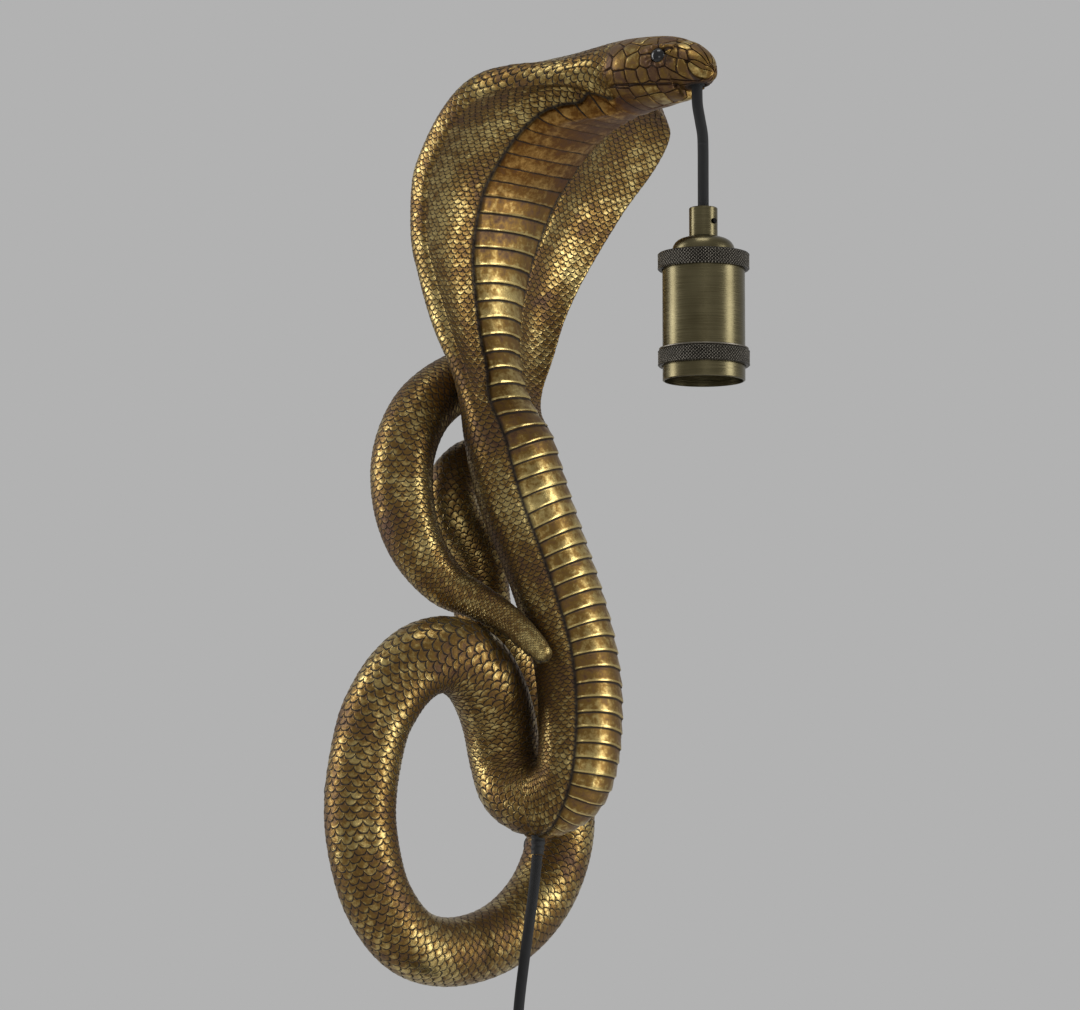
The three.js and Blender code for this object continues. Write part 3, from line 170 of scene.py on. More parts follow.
TAIL_ROWS = [
    [33.4, -19, -112.7, 15.5], [24, -22, -80, 14.6], [9.5, -20, -57, 13.9],
    [9.5, -17.5, -41, 13.7], [20, -17.5, -29.5, 13.7], [34, -17.5, -24.5, 13.7],
    [48, -17.5, -18.5, 13.8], [55, -17.5, -5, 14], [51.5, -17.5, 9.5, 14.2],
    [38, -17.5, 18.5, 14.6], [16.3, -18, 17.3, 15.2], [-12.6, -19, -0.8, 15.9],
    [-27.9, -20, -25.8, 16.2], [-29.9, -21.5, -51.5, 16], [-24.7, -26, -75.1, 14.6],
    [-12.7, -34, -94.3, 12.2], [-2.6, -48.5, -104.6, 9.8], [3, -65, -114.6, 8],
    [6.3, -80.5, -127.4, 6.6], [7.2, -87.5, -134, 5.2],
]

# Numbers of the rows where the lowest bend starts and where the castings meet
BODY_LAST = 5
TURN_BOTTOM = 8
SEAM_BODY = 12
SEAM_TAIL = 29

# Where the belly looks from the rising limb on
WALL_AND_RIGHT = np.array([0.5, 0.87, 0])
WALL = np.array([0.15, 0.99, 0])


def hex_colour(text):
    """An sRGB hex colour as linear RGBA."""
    channels = [int(text[i:i + 2], 16) / 255 for i in (1, 3, 5)]
    linear = [c / 12.92 if c <= 0.04045 else ((c + 0.055) / 1.055) ** 2.4 for c in channels]
    return (*linear, 1.0)


# What a word after a node's kind sets, and the kind that eases from one value to another
MODES = {"Math": "operation", "MapRange": "interpolation_type", "Mix": "data_type"}
SMOOTH = "MapRange SMOOTHSTEP"


def add_node(tree, kind, *inputs, output=0, stops=(), **settings):
    """Adds a node and gives one of its outputs, or a slice of them. inputs are values or links in
    order, or a dictionary of them. stops are the places and colours of a ramp."""
    kind, _, mode = kind.partition(" ")
    made = tree.nodes.new("ShaderNode" + kind)
    if mode:
        setattr(made, MODES[kind], mode)
    for name, value in settings.items():
        setattr(made, name, value)
    keyed = inputs[0] if inputs and isinstance(inputs[0], dict) else dict(enumerate(inputs))
    for key, value in keyed.items():
        if isinstance(value, bpy.types.NodeSocket):
            tree.links.new(value, made.inputs[key])
        else:
            made.inputs[key].default_value = value
    for number, (position, colour) in enumerate(stops):
        elements = made.color_ramp.elements
        element = elements[number] if number < 2 else elements.new(position)
        element.position = position
        element.color = colour
    return made.outputs[output] if made.outputs else None


# Curves through rows of numbers


def curve_between(a, b, c, d, t):
    """The smooth curve from b to c, whose neighbours are a and d."""
    return 0.5 * (2 * b + (c - a) * t + (2 * a - 5 * b + 4 * c - d) * t**2 + (3 * b - a - 3 * c + d) * t**3)


def padded_ends(rows):
    """The rows with one more at each end, straight on."""
    return np.vstack([2 * rows[0] - rows[1], rows, 2 * rows[-1] - rows[-2]])


def smooth_rows(rows, places):
    """Rows read as one smooth curve at fractional row numbers."""
    places = np.asarray(places, float)
    padded = padded_ends(np.asarray(rows, float))
    i = np.clip(np.floor(places).astype(int), 0, len(rows) - 2)
    return curve_between(*(padded[i + k] for k in range(4)), (places - i)[:, None])


def unit(vectors):
    return vectors / np.maximum(np.linalg.norm(vectors, axis=-1, keepdims=True), 1e-9)


def square_to(vectors, ways):
    """Unit vectors square to the ways, as near as can be to the given ones."""
    return unit(vectors - ways * (vectors * ways).sum(-1, keepdims=True))


def headings(rows, places):
    """Unit vectors along the middle line at fractional row numbers."""
    ahead = smooth_rows(rows, np.minimum(places + 0.02, len(rows) - 1))
    behind = smooth_rows(rows, np.maximum(places - 0.02, 0))
    return unit((ahead - behind)[:, :3])


def carried_along(direction, ways):
    """A direction carried along the ways without twist."""
    made = []
    for way in ways:
        direction = square_to(direction, way)
        made.append(direction)
    return np.array(made)


def running_length(points):
    """Length along a line up to each of its points."""
    return np.concatenate([[0], np.cumsum(np.linalg.norm(np.diff(points, axis=0), axis=1))])


def even_places(rows, first, last, step):
    """Row numbers from first to last whose points are about step apart."""
    fine = np.linspace(first, last, int((last - first) * 60) + 2)
    length = running_length(smooth_rows(rows, fine)[:, :3])
    count = max(2, int(round(length[-1] / step)) + 1)
    return np.interp(np.linspace(0, length[-1], count), length, fine)


def soft_step(low, high, value):
    """0 up to low and 1 from high, with a smooth rise between them."""
    t = np.clip((value - low) / (high - low), 0, 1)
    return t * t * (3 - 2 * t)


# Relief of the skin, in millimetres of height


def scale_relief(across, along):
    """Height from 0 to 1 of scales that lap towards the tail, one to a unit each way, in rows half
    a scale apart that are set over by half a scale."""
    row = np.mod(2 * along, 1)
    over = np.where(np.mod(along, 1) < 0.5, 0.5, 0.0)
    off = across - over - np.round(across - over)
    edge = 0.94 * np.sqrt(np.clip(1 - 4 * off**2, 0, 1))
    upper = 0.55 + 0.45 * row
    lower = 0.5 * row
    return lower + (upper - lower) * soft_step(-0.09, 0.09, edge - row)


def scute_relief(count):
    """Height from 0 to 1 of belly plates that lap towards the tail."""
    within = count - np.floor(count)
    return (0.1 + 0.9 * within**0.9) * (1 - soft_step(0.93, 1.0, within))


def belly_crease(border):
    """Depth in millimetres of the groove beside the belly plates, by the distance inside their edge."""
    return 0.9 * np.exp(-((border + 0.5) / 1.5) ** 2)


# Meshes


def grid_normals(grid):
    """Unit normals of a grid that closes on itself, from its neighbours."""
    around = np.roll(grid, -1, axis=1) - np.roll(grid, 1, axis=1)
    return unit(np.cross(around, np.gradient(grid, axis=0)))


def with_seam(grid):
    """The grid with its first column once more at the end."""
    return np.concatenate([grid, grid[:, :1]], axis=1)


def make_piece(name, points, faces, uv_maps=None, values=None, smooth=True):
    """A mesh from points in millimetres. uv_maps holds one pair of numbers per face corner."""
    mesh = bpy.data.meshes.new(name)
    points = np.asarray(points, np.float32).reshape(-1, 3) * MM
    faces = [np.asarray(f, np.int32) for f in faces]
    sizes = np.concatenate([np.full(len(f), f.shape[1], np.int32) for f in faces])
    corners = np.concatenate([f.reshape(-1) for f in faces])
    mesh.vertices.add(len(points))
    mesh.vertices.foreach_set("co", points.reshape(-1))
    mesh.loops.add(len(corners))
    mesh.loops.foreach_set("vertex_index", corners)
    mesh.polygons.add(len(sizes))
    starts = np.concatenate([[0], np.cumsum(sizes)[:-1]]).astype(np.int32)
    mesh.polygons.foreach_set("loop_start", starts)
    mesh.polygons.foreach_set("loop_total", sizes)
    mesh.polygons.foreach_set("use_smooth", np.full(len(sizes), smooth))
    for map_name, pairs in (uv_maps or {}).items():
        layer = mesh.uv_layers.new(name=map_name)
        layer.data.foreach_set("uv", np.asarray(pairs, np.float32).reshape(-1))
    for value_name, numbers in (values or {}).items():
        attribute = mesh.attributes.new(value_name, "FLOAT", "POINT")
        attribute.data.foreach_set("value", np.asarray(numbers, np.float32).reshape(-1))
    mesh.update()
    mesh.validate()
    made = bpy.data.objects.new(name, mesh)
    bpy.context.scene.collection.objects.link(made)
    return made


def quads_of(rows, columns):
    """Corner numbers of the faces of a grid that closes on itself, and the cells they come from."""
    r, c = (n.reshape(-1) for n in np.meshgrid(np.arange(rows - 1), np.arange(columns), indexing="ij"))
    low, high, after = r * columns, (r + 1) * columns, (c + 1) % columns
    faces = np.stack([low + c, low + after, high + after, high + c], 1)
    return faces, np.stack([[r, c], [r, c + 1], [r + 1, c + 1], [r + 1, c]])


def corner_pairs(cells, first, second):
    """UV pairs per face corner from two tables that have one column more than the grid."""
    rows, columns = cells[:, 0].T, cells[:, 1].T
    return np.stack([first[rows, columns], second[rows, columns]], -1)


def skin_piece(name, grid, tables, values):
    """A tube of skin, closed at both ends. tables maps a UV map to two tables with a repeated last
    column."""
    rows, columns = grid.shape[:2]
    faces, cells = quads_of(rows, columns)
    flat_u = np.tile(np.linspace(BAKE_MARGIN, 1 - BAKE_MARGIN, columns + 1), (rows, 1))
    flat_v = np.tile(np.linspace(BAKE_MARGIN, 1 - BAKE_MARGIN, rows)[:, None], (1, columns + 1))
    tables = {**tables, "OFBake": (flat_u, flat_v)}
    uv_maps = {key: corner_pairs(cells, *pair).reshape(-1, 2) for key, pair in tables.items()}
    points = grid.reshape(-1, 3)
    all_faces = [faces]
    for end in (0, 1):
        ring = np.arange(columns) + (rows - 1) * columns * end
        fan = np.stack([ring, np.roll(ring, -1), np.full(columns, len(points))], 1)
        all_faces.append(fan if end else fan[:, ::-1])
        points = np.vstack([points, points[ring].mean(0)])
        values = {key: np.append(value, 0.5) for key, value in values.items()}
        for key, pairs in uv_maps.items():
            uv_maps[key] = np.vstack([pairs, np.tile(pairs[-end], (3 * columns, 1))])
    return make_piece(name, points, all_faces, uv_maps, values)


def uneven(across, down):
    """Scale counts with a slight unevenness, as in hand modelling."""
    drift = 0.05 * np.sin(5.3 * across + 1.7 * np.sin(2.1 * down)) * np.sin(1.3 * down)
    return across + drift, down + 0.06 * np.sin(2.9 * across + 0.8 * down)


def tucked(table, before, after, tip):
    """The table with a row before it, and one after it unless it ends in a tip. They are the
    narrower rings that go inside the next piece."""
    return np.vstack([before[None], table] if tip else [before[None], table, after[None]])


# Round body


def body_rows():
    """All rows of the round body, with the lowest bend as half a circle."""
    turn = []
    for i, radius in enumerate(TURN_BODY_RADII):
        angle = i / (len(TURN_BODY_RADII) - 1) * math.pi
        place = TURN_MIDDLE - TURN_HEADING * math.cos(angle) * TURN_RADIUS
        turn.append([place[0], place[1], place[2] - math.sin(angle) * TURN_RADIUS, radius])
    return np.array(BODY_ROWS + turn + COIL_ROWS + TAIL_ROWS)


def body_frames(rows):
    """Belly directions, four to a row. They are carried along without twist as far as the lowest
    bend, and turn to the wall and away from the room after it."""
    places = np.arange((len(rows) - 1) * 4 + 1) / 4
    tangents = headings(rows, places)
    carried = carried_along(np.array([0.0, -1.0, 0.0]), tangents)
    hidden = square_to(np.where(places[:, None] < SEAM_BODY, WALL_AND_RIGHT, WALL), tangents)
    turned = soft_step(BODY_LAST + 0.5, BODY_LAST + 5.5, places)[:, None]
    return places, unit(carried * (1 - turned) + hidden * turned)


def body_skin(name, first, last, scales_around, settings, tip=False):
    """One length of the round body between two row numbers, with its scales and belly plates."""
    rows = body_rows()
    places = even_places(rows, first, last, settings.skin_step)
    line = smooth_rows(rows, places)
    middle, radius = line[:, :3], np.maximum(line[:, 3], 1.0)
    tangents = headings(rows, places)
    frame_places, carried = body_frames(rows)
    belly = np.stack([np.interp(places, frame_places, carried[:, k]) for k in range(3)], 1)
    belly = square_to(belly, tangents)
    length = running_length(middle)
    if tip:
        # The last rings close over the end like a thimble
        turns = np.linspace(0.06, 0.97, TIP_RINGS) * math.pi / 2
        middle = np.vstack([middle, middle[-1] + tangents[-1] * (radius[-1] * np.sin(turns))[:, None]])
        length = np.append(length, length[-1] + radius[-1] * turns)
        radius = np.append(radius, radius[-1] * np.cos(turns))
        belly = np.vstack([belly, np.tile(belly[-1], (TIP_RINGS, 1))])
        tangents = np.vstack([tangents, np.tile(tangents[-1], (TIP_RINGS, 1))])
    columns = int(round(2 * math.pi * radius.max() / settings.skin_step))
    angles = np.linspace(-math.pi, math.pi, columns + 1)
    spacing = 2 * math.pi * np.maximum(radius, 3) / scales_around * settings.scale_length
    along = np.concatenate([[0], np.cumsum(np.diff(length) / (0.5 * (spacing[1:] + spacing[:-1])))])
    across, down = uneven((angles / (2 * math.pi) * scales_around)[None, :], along[:, None])
    border = (settings.belly_angle - np.abs(angles)) * radius[:, None]
    bend = 0.16 * (angles / settings.belly_angle) ** 2
    scutes = (running_length(middle + belly * radius[:, None]) / settings.scute_spacing)[:, None] - bend
    inside = soft_step(-0.4, 0.4, border)
    height = (1 - inside) * scale_relief(across, down) * settings.scale_height
    height *= np.clip(radius / 15, 0.5, 1.1)[:, None]
    height += inside * scute_relief(scutes) * settings.scute_height - belly_crease(border) - SKIN_DEPTH
    turned = angles[:-1, None]
    directions = belly[:, None] * np.cos(turned) + np.cross(belly, tangents)[:, None] * np.sin(turned)
    grid = middle[:, None] + directions * (radius[:, None] + height[:, :-1])[..., None]
    before = middle[0] + (grid[0] - middle[0]) * TUCK - tangents[0]
    after = middle[-1] + (grid[-1] - middle[-1]) * TUCK + tangents[-1]
    grid = tucked(grid, before, after, tip)
    tables = {"Scales": (across, down), "Plates": (scutes, border / 10)}
    tables = {key: [tucked(t, t[0], t[-1], tip) for t in pair] for key, pair in tables.items()}
    values = dict.fromkeys(("head", "plate", "tone", "ruddy"), np.zeros(grid.shape[:2]))
    return skin_piece(name, grid, tables, values)


# Neck, hood and head


def hood_sections(line, samples):
    """Cross-sections of the neck, hood and head at fine steps of the section's corners."""
    wide, belly, back, rim, spread = (line[:, k][:, None] for k in range(3, 8))
    rise = back - rim
    flat = 0 * wide
    half = [
        (flat, belly), (0.16 * wide, belly - 0.6), (0.3 * wide, belly - 2.5), (0.44 * wide, flat - 4),
        (0.6 * wide, flat - 5), (0.76 * wide, flat - 4), (0.9 * wide, flat - 1.5), (wide, flat),
        (wide + 1.5, -0.35 * rim), (wide + 0.5, -0.75 * rim), (wide - 4, -1.05 * rim),
        (0.82 * wide, -rim - 0.12 * rise), (0.62 * wide, -rim - 0.38 * rise),
        (0.42 * wide, -rim - 0.72 * rise), (0.25 * wide, -rim - 0.92 * rise),
        (0.12 * wide, -rim - 0.98 * rise), (flat, -back),
    ]
    turns = np.arange(CORNERS) / CORNERS * 2 * math.pi
    tube = (wide * np.sin(turns), np.where(np.cos(turns) > 0, belly, back) * np.cos(turns))
    i = np.floor(samples).astype(int)
    made = []
    for columns, other_side, tube_side in zip(zip(*half), (-1, 1), tube):
        hood_side = np.hstack(columns)
        hood_side = np.hstack([hood_side, other_side * hood_side[:, -2:0:-1]])
        corners = tube_side + (hood_side - tube_side) * spread
        near = (corners[:, (i + k) % CORNERS] for k in (-1, 0, 1, 2))
        made.append(curve_between(*near, (samples - i)[None, :]))
    return made


# Middles of the head's plates: distance forward along the head as -y, and the angle from the
# crown in degrees. Each is on both sides of the head, unless its angle is 0
HEAD_PLATES = [
    (208.5, 62), (203, 16), (197, 18), (188.5, 0), (187.5, 33), (177, 17), (166, 14), (204, 46),
    (199.5, 52), (195.5, 56), (193, 46), (180, 47), (181, 64), (173, 44), (171.5, 62), (163, 40),
    (160, 58), (205.5, 82), (200.5, 84), (195, 83), (189, 82), (182, 82), (174.5, 83), (166, 80),
    (191, 104), (185.5, 105), (179.5, 106), (173, 107), (166, 108), (189, 128), (181, 128), (173, 128),
    (165, 128), (190, 158), (181, 152), (172.5, 150), (164, 150), (157, 30), (156, 78), (157, 102),
    (157, 126), (158, 8), (157, 150), (168, 0), (196, 0), (204.5, 0), (198, 36),
]


def plate_relief(points, middle_z):
    """Height from 0 to 1 of the head's plates, whose edges are grooves half-way between middles,
    and a tone from 0 to 1 of each plate."""
    seeds = [(forward, way * turn) for forward, turn in HEAD_PLATES for way in ((1, -1) if turn else (1,))]
    turn = np.degrees(np.arctan2(points[..., 0] - HOOD_X, points[..., 2] - middle_z))
    nearest = np.full(turn.shape, 1e9)
    second = np.full(turn.shape, 1e9)
    tone = np.zeros(turn.shape)
    for number, (forward, seed_turn) in enumerate(seeds):
        off = (turn - seed_turn + 180) % 360 - 180
        distance = np.hypot(-points[..., 1] - forward, off * HEAD_DEGREE)
        closer = distance < nearest
        second = np.where(closer, nearest, np.minimum(second, distance))
        nearest = np.where(closer, distance, nearest)
        tone = np.where(closer, number * 0.382 % 1, tone)
    return soft_step(0.05, 0.95, second - nearest), tone


def face_relief(points, under):
    """Height in millimetres of the eyes' rings, brows, pits and lips, how much painted shade darkens the
    palate, nostrils, pits, the groove between the jaws and the mouth's hole, the ring's place and beads, and
    the hole of the mouth. under says where the skin looks down."""
    off = np.abs(points[..., 0] - HOOD_X)
    y, z = points[..., 1], points[..., 2]
    # Lips: a groove between the jaws
    lip_z = np.interp(-y, [150, 160, 172, 186, 194], [150.5, 151, 150, 148.6, 148.2])
    groove = np.exp(-((z - lip_z) / 0.55) ** 2) * soft_step(152, 162, -y) * (1 - soft_step(193.2, 194.4, -y))
    # Eyes: a swollen ring of small scales round a hollow
    eye = np.stack([off, y, z], -1) - EYE
    distance = np.linalg.norm(eye, axis=-1)
    ring = np.exp(-((distance - 5.9) / 1.05) ** 2)
    beads = 0.75 + 0.25 * np.cos(np.arctan2(eye[..., 2], eye[..., 1]) * 11)
    hollow = np.exp(-(distance / 3.6) ** 4)
    brow = np.exp(-((z - 167.3) / 1.6) ** 2) * np.exp(-((y + 188) / 8) ** 4) * (off > 7)
    pit = np.exp(-(((y + 194.5) / 2.6) ** 2 + ((z - 160.2) / 2.2) ** 2)) * (off > 6)
    nostril = np.exp(-(((y + 202.6) / 0.9) ** 2 + ((z - 158.6) / 0.8) ** 2)) * (off > 4)
    # Mouth: the cord's hole in a palate darkened with painted shade
    from_cord = np.hypot(off, y + 199.9)
    hole = np.exp(-(from_cord / 4.0) ** 6) * under
    palate = under * soft_step(193.6, 194.6, -y) * (from_cord < 6.2)
    height = ring * beads * 1.2 - hollow * 2.4 + brow * 1.2 - pit * 0.9 - nostril * 1.6 - groove * 0.9
    # dark is painted shade in the face's recesses and in the mouth's hole
    dark = np.clip(palate + nostril + pit * 0.75 + groove * 0.9 + hole, 0, 1)
    return height, dark, ring, beads, hole


def hood_form(settings):
    """The smooth neck, hood and head: its points, the section corner of each column, and each
    ring's row number, spread and distance along."""
    rows = NECK_ROWS
    low = even_places(rows, 0, HEAD_ROW, settings.skin_step)
    high = even_places(rows, HEAD_ROW, len(rows) - 1, settings.skin_step * HEAD_FINENESS)
    places = np.concatenate([low, high[1:]])
    line = smooth_rows(rows, places)
    tangents = headings(rows, places)
    # More columns go where the section is wide: the belly side and the rim
    even = np.linspace(-CORNERS / 2, CORNERS / 2, settings.hood_columns + 1)
    samples = even - 0.36 * np.sin(even / CORNERS * math.pi * 4)
    across, out = hood_sections(line, samples[:-1] % CORNERS)
    sideways = square_to(np.array([1.0, 0, 0]), tangents)
    belly = unit(np.cross(sideways, tangents))
    # The first ring lies in the plane of the body's first ring
    seam_belly = body_frames(body_rows())[1][0]
    seam_side = np.cross(seam_belly, headings(body_rows(), np.zeros(1))[0])
    blend = soft_step(0, 1.2, places)[:, None]
    belly = unit(seam_belly * (1 - blend) + belly * blend)
    sideways = unit(seam_side * (1 - blend) + sideways * blend)
    grid = line[:, None, :3] + sideways[:, None] * across[..., None] + belly[:, None] * out[..., None]
    # Round nose
    nose = (np.linspace(0.12, 0.96, NOSE_RINGS) * math.pi / 2)[:, None, None]
    hub = grid[-1].mean(0)
    grid = np.vstack([grid, hub + (grid[-1] - hub) * np.cos(nose) + tangents[-1] * 3.4 * np.sin(nose)])
    places = np.append(places, np.full(NOSE_RINGS, len(rows) - 1))
    spread = np.append(line[:, 7], np.zeros(NOSE_RINGS))
    length = running_length(line[:, :3])
    length = np.append(length, length[-1] + np.arange(1, NOSE_RINGS + 1) * 0.4)
    return grid, samples, places, spread, length


def hood_skin(settings):
    """The neck, hood and head with their scales, plates and features."""
    grid, samples, places, spread, length = hood_form(settings)
    normals = grid_normals(grid)
    points = with_seam(grid)
    y, z = points[..., 1], points[..., 2]
    centre = settings.hood_columns // 2
    steps = np.linalg.norm(np.diff(points, axis=1), axis=2)
    girth = np.hstack([np.zeros((len(grid), 1)), np.cumsum(steps, axis=1)])
    girth = girth - girth[:, centre:centre + 1]
    # Belly plates reach to the section's fourth corner, and less far on the spread hood
    edge_corner = 4.0 - 1.55 * soft_step(0, 0.8, spread)
    edge_girth = np.array([
        np.interp(corner, samples[centre:], row[centre:]) for corner, row in zip(edge_corner, girth)])
    border = edge_girth[:, None] - np.abs(girth)
    lag = 0.12 * np.abs(girth) * soft_step(0, 3, places)[:, None]
    size = settings.hood_scale
    across, down = uneven(girth / size, -(length[:, None] + lag) / (size * settings.scale_length))
    bend = 0.22 * np.clip(girth / np.maximum(edge_girth, 1)[:, None], -1.3, 1.3) ** 2
    scutes = -(running_length(grid[:, centre]) / settings.hood_scute_spacing)[:, None] - bend + 200
    head = soft_step(*HEAD_BEGINS, -y)
    throat = 1 - soft_step(*THROAT_ENDS, -y)
    inside = soft_step(-0.4, 0.4, border) * throat
    middle_z = np.interp(-y, [150, 178, 192, 208], [159, 159, 157.3, 153])
    plates, tone = plate_relief(points, middle_z)
    under = soft_step(-0.2, -0.75, with_seam(normals)[..., 2])
    face, dark, ring, beads, hole = face_relief(points, under)
    rim = np.exp(-((np.abs(samples) - 7.0) / 0.35) ** 2) * soft_step(0.5, 1, spread)[:, None]
    scales = (1 - inside) * scale_relief(across, down) * settings.scale_height * 0.8
    belly_plates = inside * scute_relief(scutes)
    height = (1 - head) * (scales + belly_plates * settings.scute_height - belly_crease(border) * throat)
    height += head * (plates * 0.55 * (1 - ring) * (1 - inside) + belly_plates * 0.5 + face)
    height += rim * 0.25 - SKIN_DEPTH
    grid = grid + normals * height[:, :-1, None]
    grid[..., 2] += hole[:, :-1] * 9
    values = {
        "head": head,
        # The plate value also carries the painted shade of the face's recesses
        "plate": np.clip(plates * (1 - ring * (1 - beads)) * (1 - dark), 0, 1),
        "tone": tone,
        "ruddy": inside * soft_step(88, 122, z) * (1 - soft_step(165, 180, -y)),
    }
    values = {key: value[:, :-1] for key, value in values.items()}
    tables = {"Scales": (across, down), "Plates": (scutes, (border * throat - 3 * (1 - throat)) / 10)}
    return skin_piece("cobra_hood_and_head", grid, tables, values)


# Turned and drawn pieces


def turned_piece(name, profile, segments, centre=(HOOD_X, HOLDER_Y), knurl=None):
    """A closed profile of radius and height turned round an upright axis. knurl gives the two
    heights between which diamonds are cut into the rings' outer wall."""
    outline = np.array(profile, float)
    area = np.sum(outline[:, 0] * np.roll(outline[:, 1], -1) - np.roll(outline[:, 0], -1) * outline[:, 1])
    if area > 0:
        outline = outline[::-1]
    if knurl:
        dense = []
        for a, b in zip(outline, np.roll(outline, -1, axis=0)):
            dense.append(a)
            if abs(a[0] - RING_RADIUS) < 0.01 and abs(b[0] - RING_RADIUS) < 0.01:
                dense += [a + (b - a) * t for t in np.linspace(0, 1, 26)[1:-1]]
        outline = np.array(dense)
    turns = np.linspace(0, 2 * math.pi, segments + 1)
    radius = np.repeat(outline[:, :1], segments + 1, axis=1)
    height = np.repeat(outline[:, 1:], segments + 1, axis=1)
    if knurl:
        low, high = knurl
        on_band = (np.abs(radius - RING_RADIUS) < 0.01) & (height > low) & (height < high)
        u, v = turns * RING_RADIUS / KNURL_PITCH, height / KNURL_PITCH
        diamond = np.abs((u + v) % 1 - 0.5) + np.abs((u - v) % 1 - 0.5)
        edge = np.clip(np.minimum(height - low, high - height) / 0.5, 0, 1)
        radius = radius - on_band * KNURL_DEPTH * (1 - diamond) * edge
    grid = np.stack([centre[0] + radius * np.sin(turns), centre[1] - radius * np.cos(turns), height], -1)
    rows = len(outline)
    faces, cells = quads_of(rows + 1, segments)
    faces %= rows * segments
    lengths = running_length(np.vstack([outline, outline[:1]]))
    u = np.tile(turns / (2 * math.pi), (rows + 1, 1))
    v = np.repeat((lengths / lengths[-1])[:, None], segments + 1, axis=1)
    uv_maps = {
        "OFBake": corner_pairs(cells, *(BAKE_MARGIN + (1 - 2 * BAKE_MARGIN) * table for table in (u, v))),
        "Turned": corner_pairs(cells, u * 2 * math.pi * outline[:, 0].max(), np.vstack([height, height[:1]])),
    }
    piece = make_piece(name, grid[:, :-1], [faces[:, ::-1]], uv_maps)
    piece.data.set_sharp_from_angle(angle=SHARP_ANGLE)
    return piece


def lay_along(piece, origin, axes):
    """Moves an upright piece to an origin in millimetres, with its x, y and z along three axes."""
    points = np.array([vertex.co for vertex in piece.data.vertices])
    placed = np.asarray(origin) * MM + points @ np.asarray(axes, float)
    piece.data.vertices.foreach_set("co", placed.astype(np.float32).reshape(-1))
    piece.data.update()


def without_repeats(points):
    """The points without those that lie on the one before."""
    kept = [points[0]]
    for point in points[1:]:
        if np.linalg.norm(point - kept[-1]) > 1e-6:
            kept.append(point)
    return np.array(kept)


def cord_curve(points, step):
    """Points every step along a centripetal curve through the given ones."""
    points = np.asarray(points, float)
    padded = padded_ends(points)
    made = []
    for i in range(len(points) - 1):
        a, b, c, d = padded[i:i + 4]
        t1 = np.linalg.norm(b - a) ** 0.5
        t2 = t1 + np.linalg.norm(c - b) ** 0.5
        t3 = t2 + np.linalg.norm(d - c) ** 0.5
        count = max(2, int(np.linalg.norm(c - b) / step) + 1)
        t = np.linspace(t1, t2, count, endpoint=False)[:, None]
        ab = (t1 - t) / t1 * a + t / t1 * b
        bc = (t2 - t) / (t2 - t1) * b + (t - t1) / (t2 - t1) * c
        cd = (t3 - t) / (t3 - t2) * c + (t - t2) / (t3 - t2) * d
        abc = (t2 - t) / t2 * ab + t / t2 * bc
        bcd = (t3 - t) / (t3 - t1) * bc + (t - t1) / (t3 - t1) * cd
        made.append((t2 - t) / (t2 - t1) * abc + (t - t1) / (t2 - t1) * bcd)
    return without_repeats(np.vstack([*made, points[-1:]]))


def cord_piece(name, line, settings, begin=0.0):
    """A round braided cord along a line of points, with flat ends. The braid starts begin
    millimetres along, so that it runs on from one length to the next."""
    ways = unit(np.gradient(line, axis=0))
    outs = carried_along(np.array([1.0, 0.0, 0.0]), ways)
    turns = np.linspace(0, 2 * math.pi, settings.cord_sides + 1)
    flat = turns[:-1, None]
    ring = outs[:, None] * np.cos(flat) + np.cross(ways, outs)[:, None] * np.sin(flat)
    around = turns / (2 * math.pi) * round(2 * math.pi * CORD_RADIUS / settings.braid_pitch)
    run = ((begin + running_length(line)) / settings.braid_pitch)[:, None]
    return skin_piece(name, line[:, None] + ring * CORD_RADIUS, {"Braid": (run + around, around - run)}, {})


def wear(piece, look):
    """Gives a piece one material in place of its own."""
    piece.data.materials.clear()
    piece.data.materials.append(MATERIALS[look])


def stand_for(piece, look, body, slot, *nodes):
    """The piece wears a material, rides on a body and hides its solids. slot is not used."""
    wear(piece, look)
    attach(piece, body)
    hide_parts(*nodes)


# Materials


def fresh_material(name):
    """An empty material and the function that adds its nodes."""
    made = bpy.data.materials.new(name)
    made.use_nodes = True
    made.node_tree.nodes.clear()
    return made, partial(add_node, made.node_tree)


def tinted(colour, *factors):
    """A hex colour with its red, green and blue each times a factor."""
    return (*[min(1, c * factor) for c, factor in zip(hex_colour(colour), factors)], 1)


def surfaced(made, node, colour, height, distance, strength, values):
    """Ends a material: a bump whose height is in metres by distance, and the surface with its other
    values."""
    bump = node("Bump", {"Height": height, "Distance": distance, "Strength": strength})
    node("OutputMaterial", node("BsdfPrincipled", {"Base Color": colour, "Normal": bump, **values}))
    return made


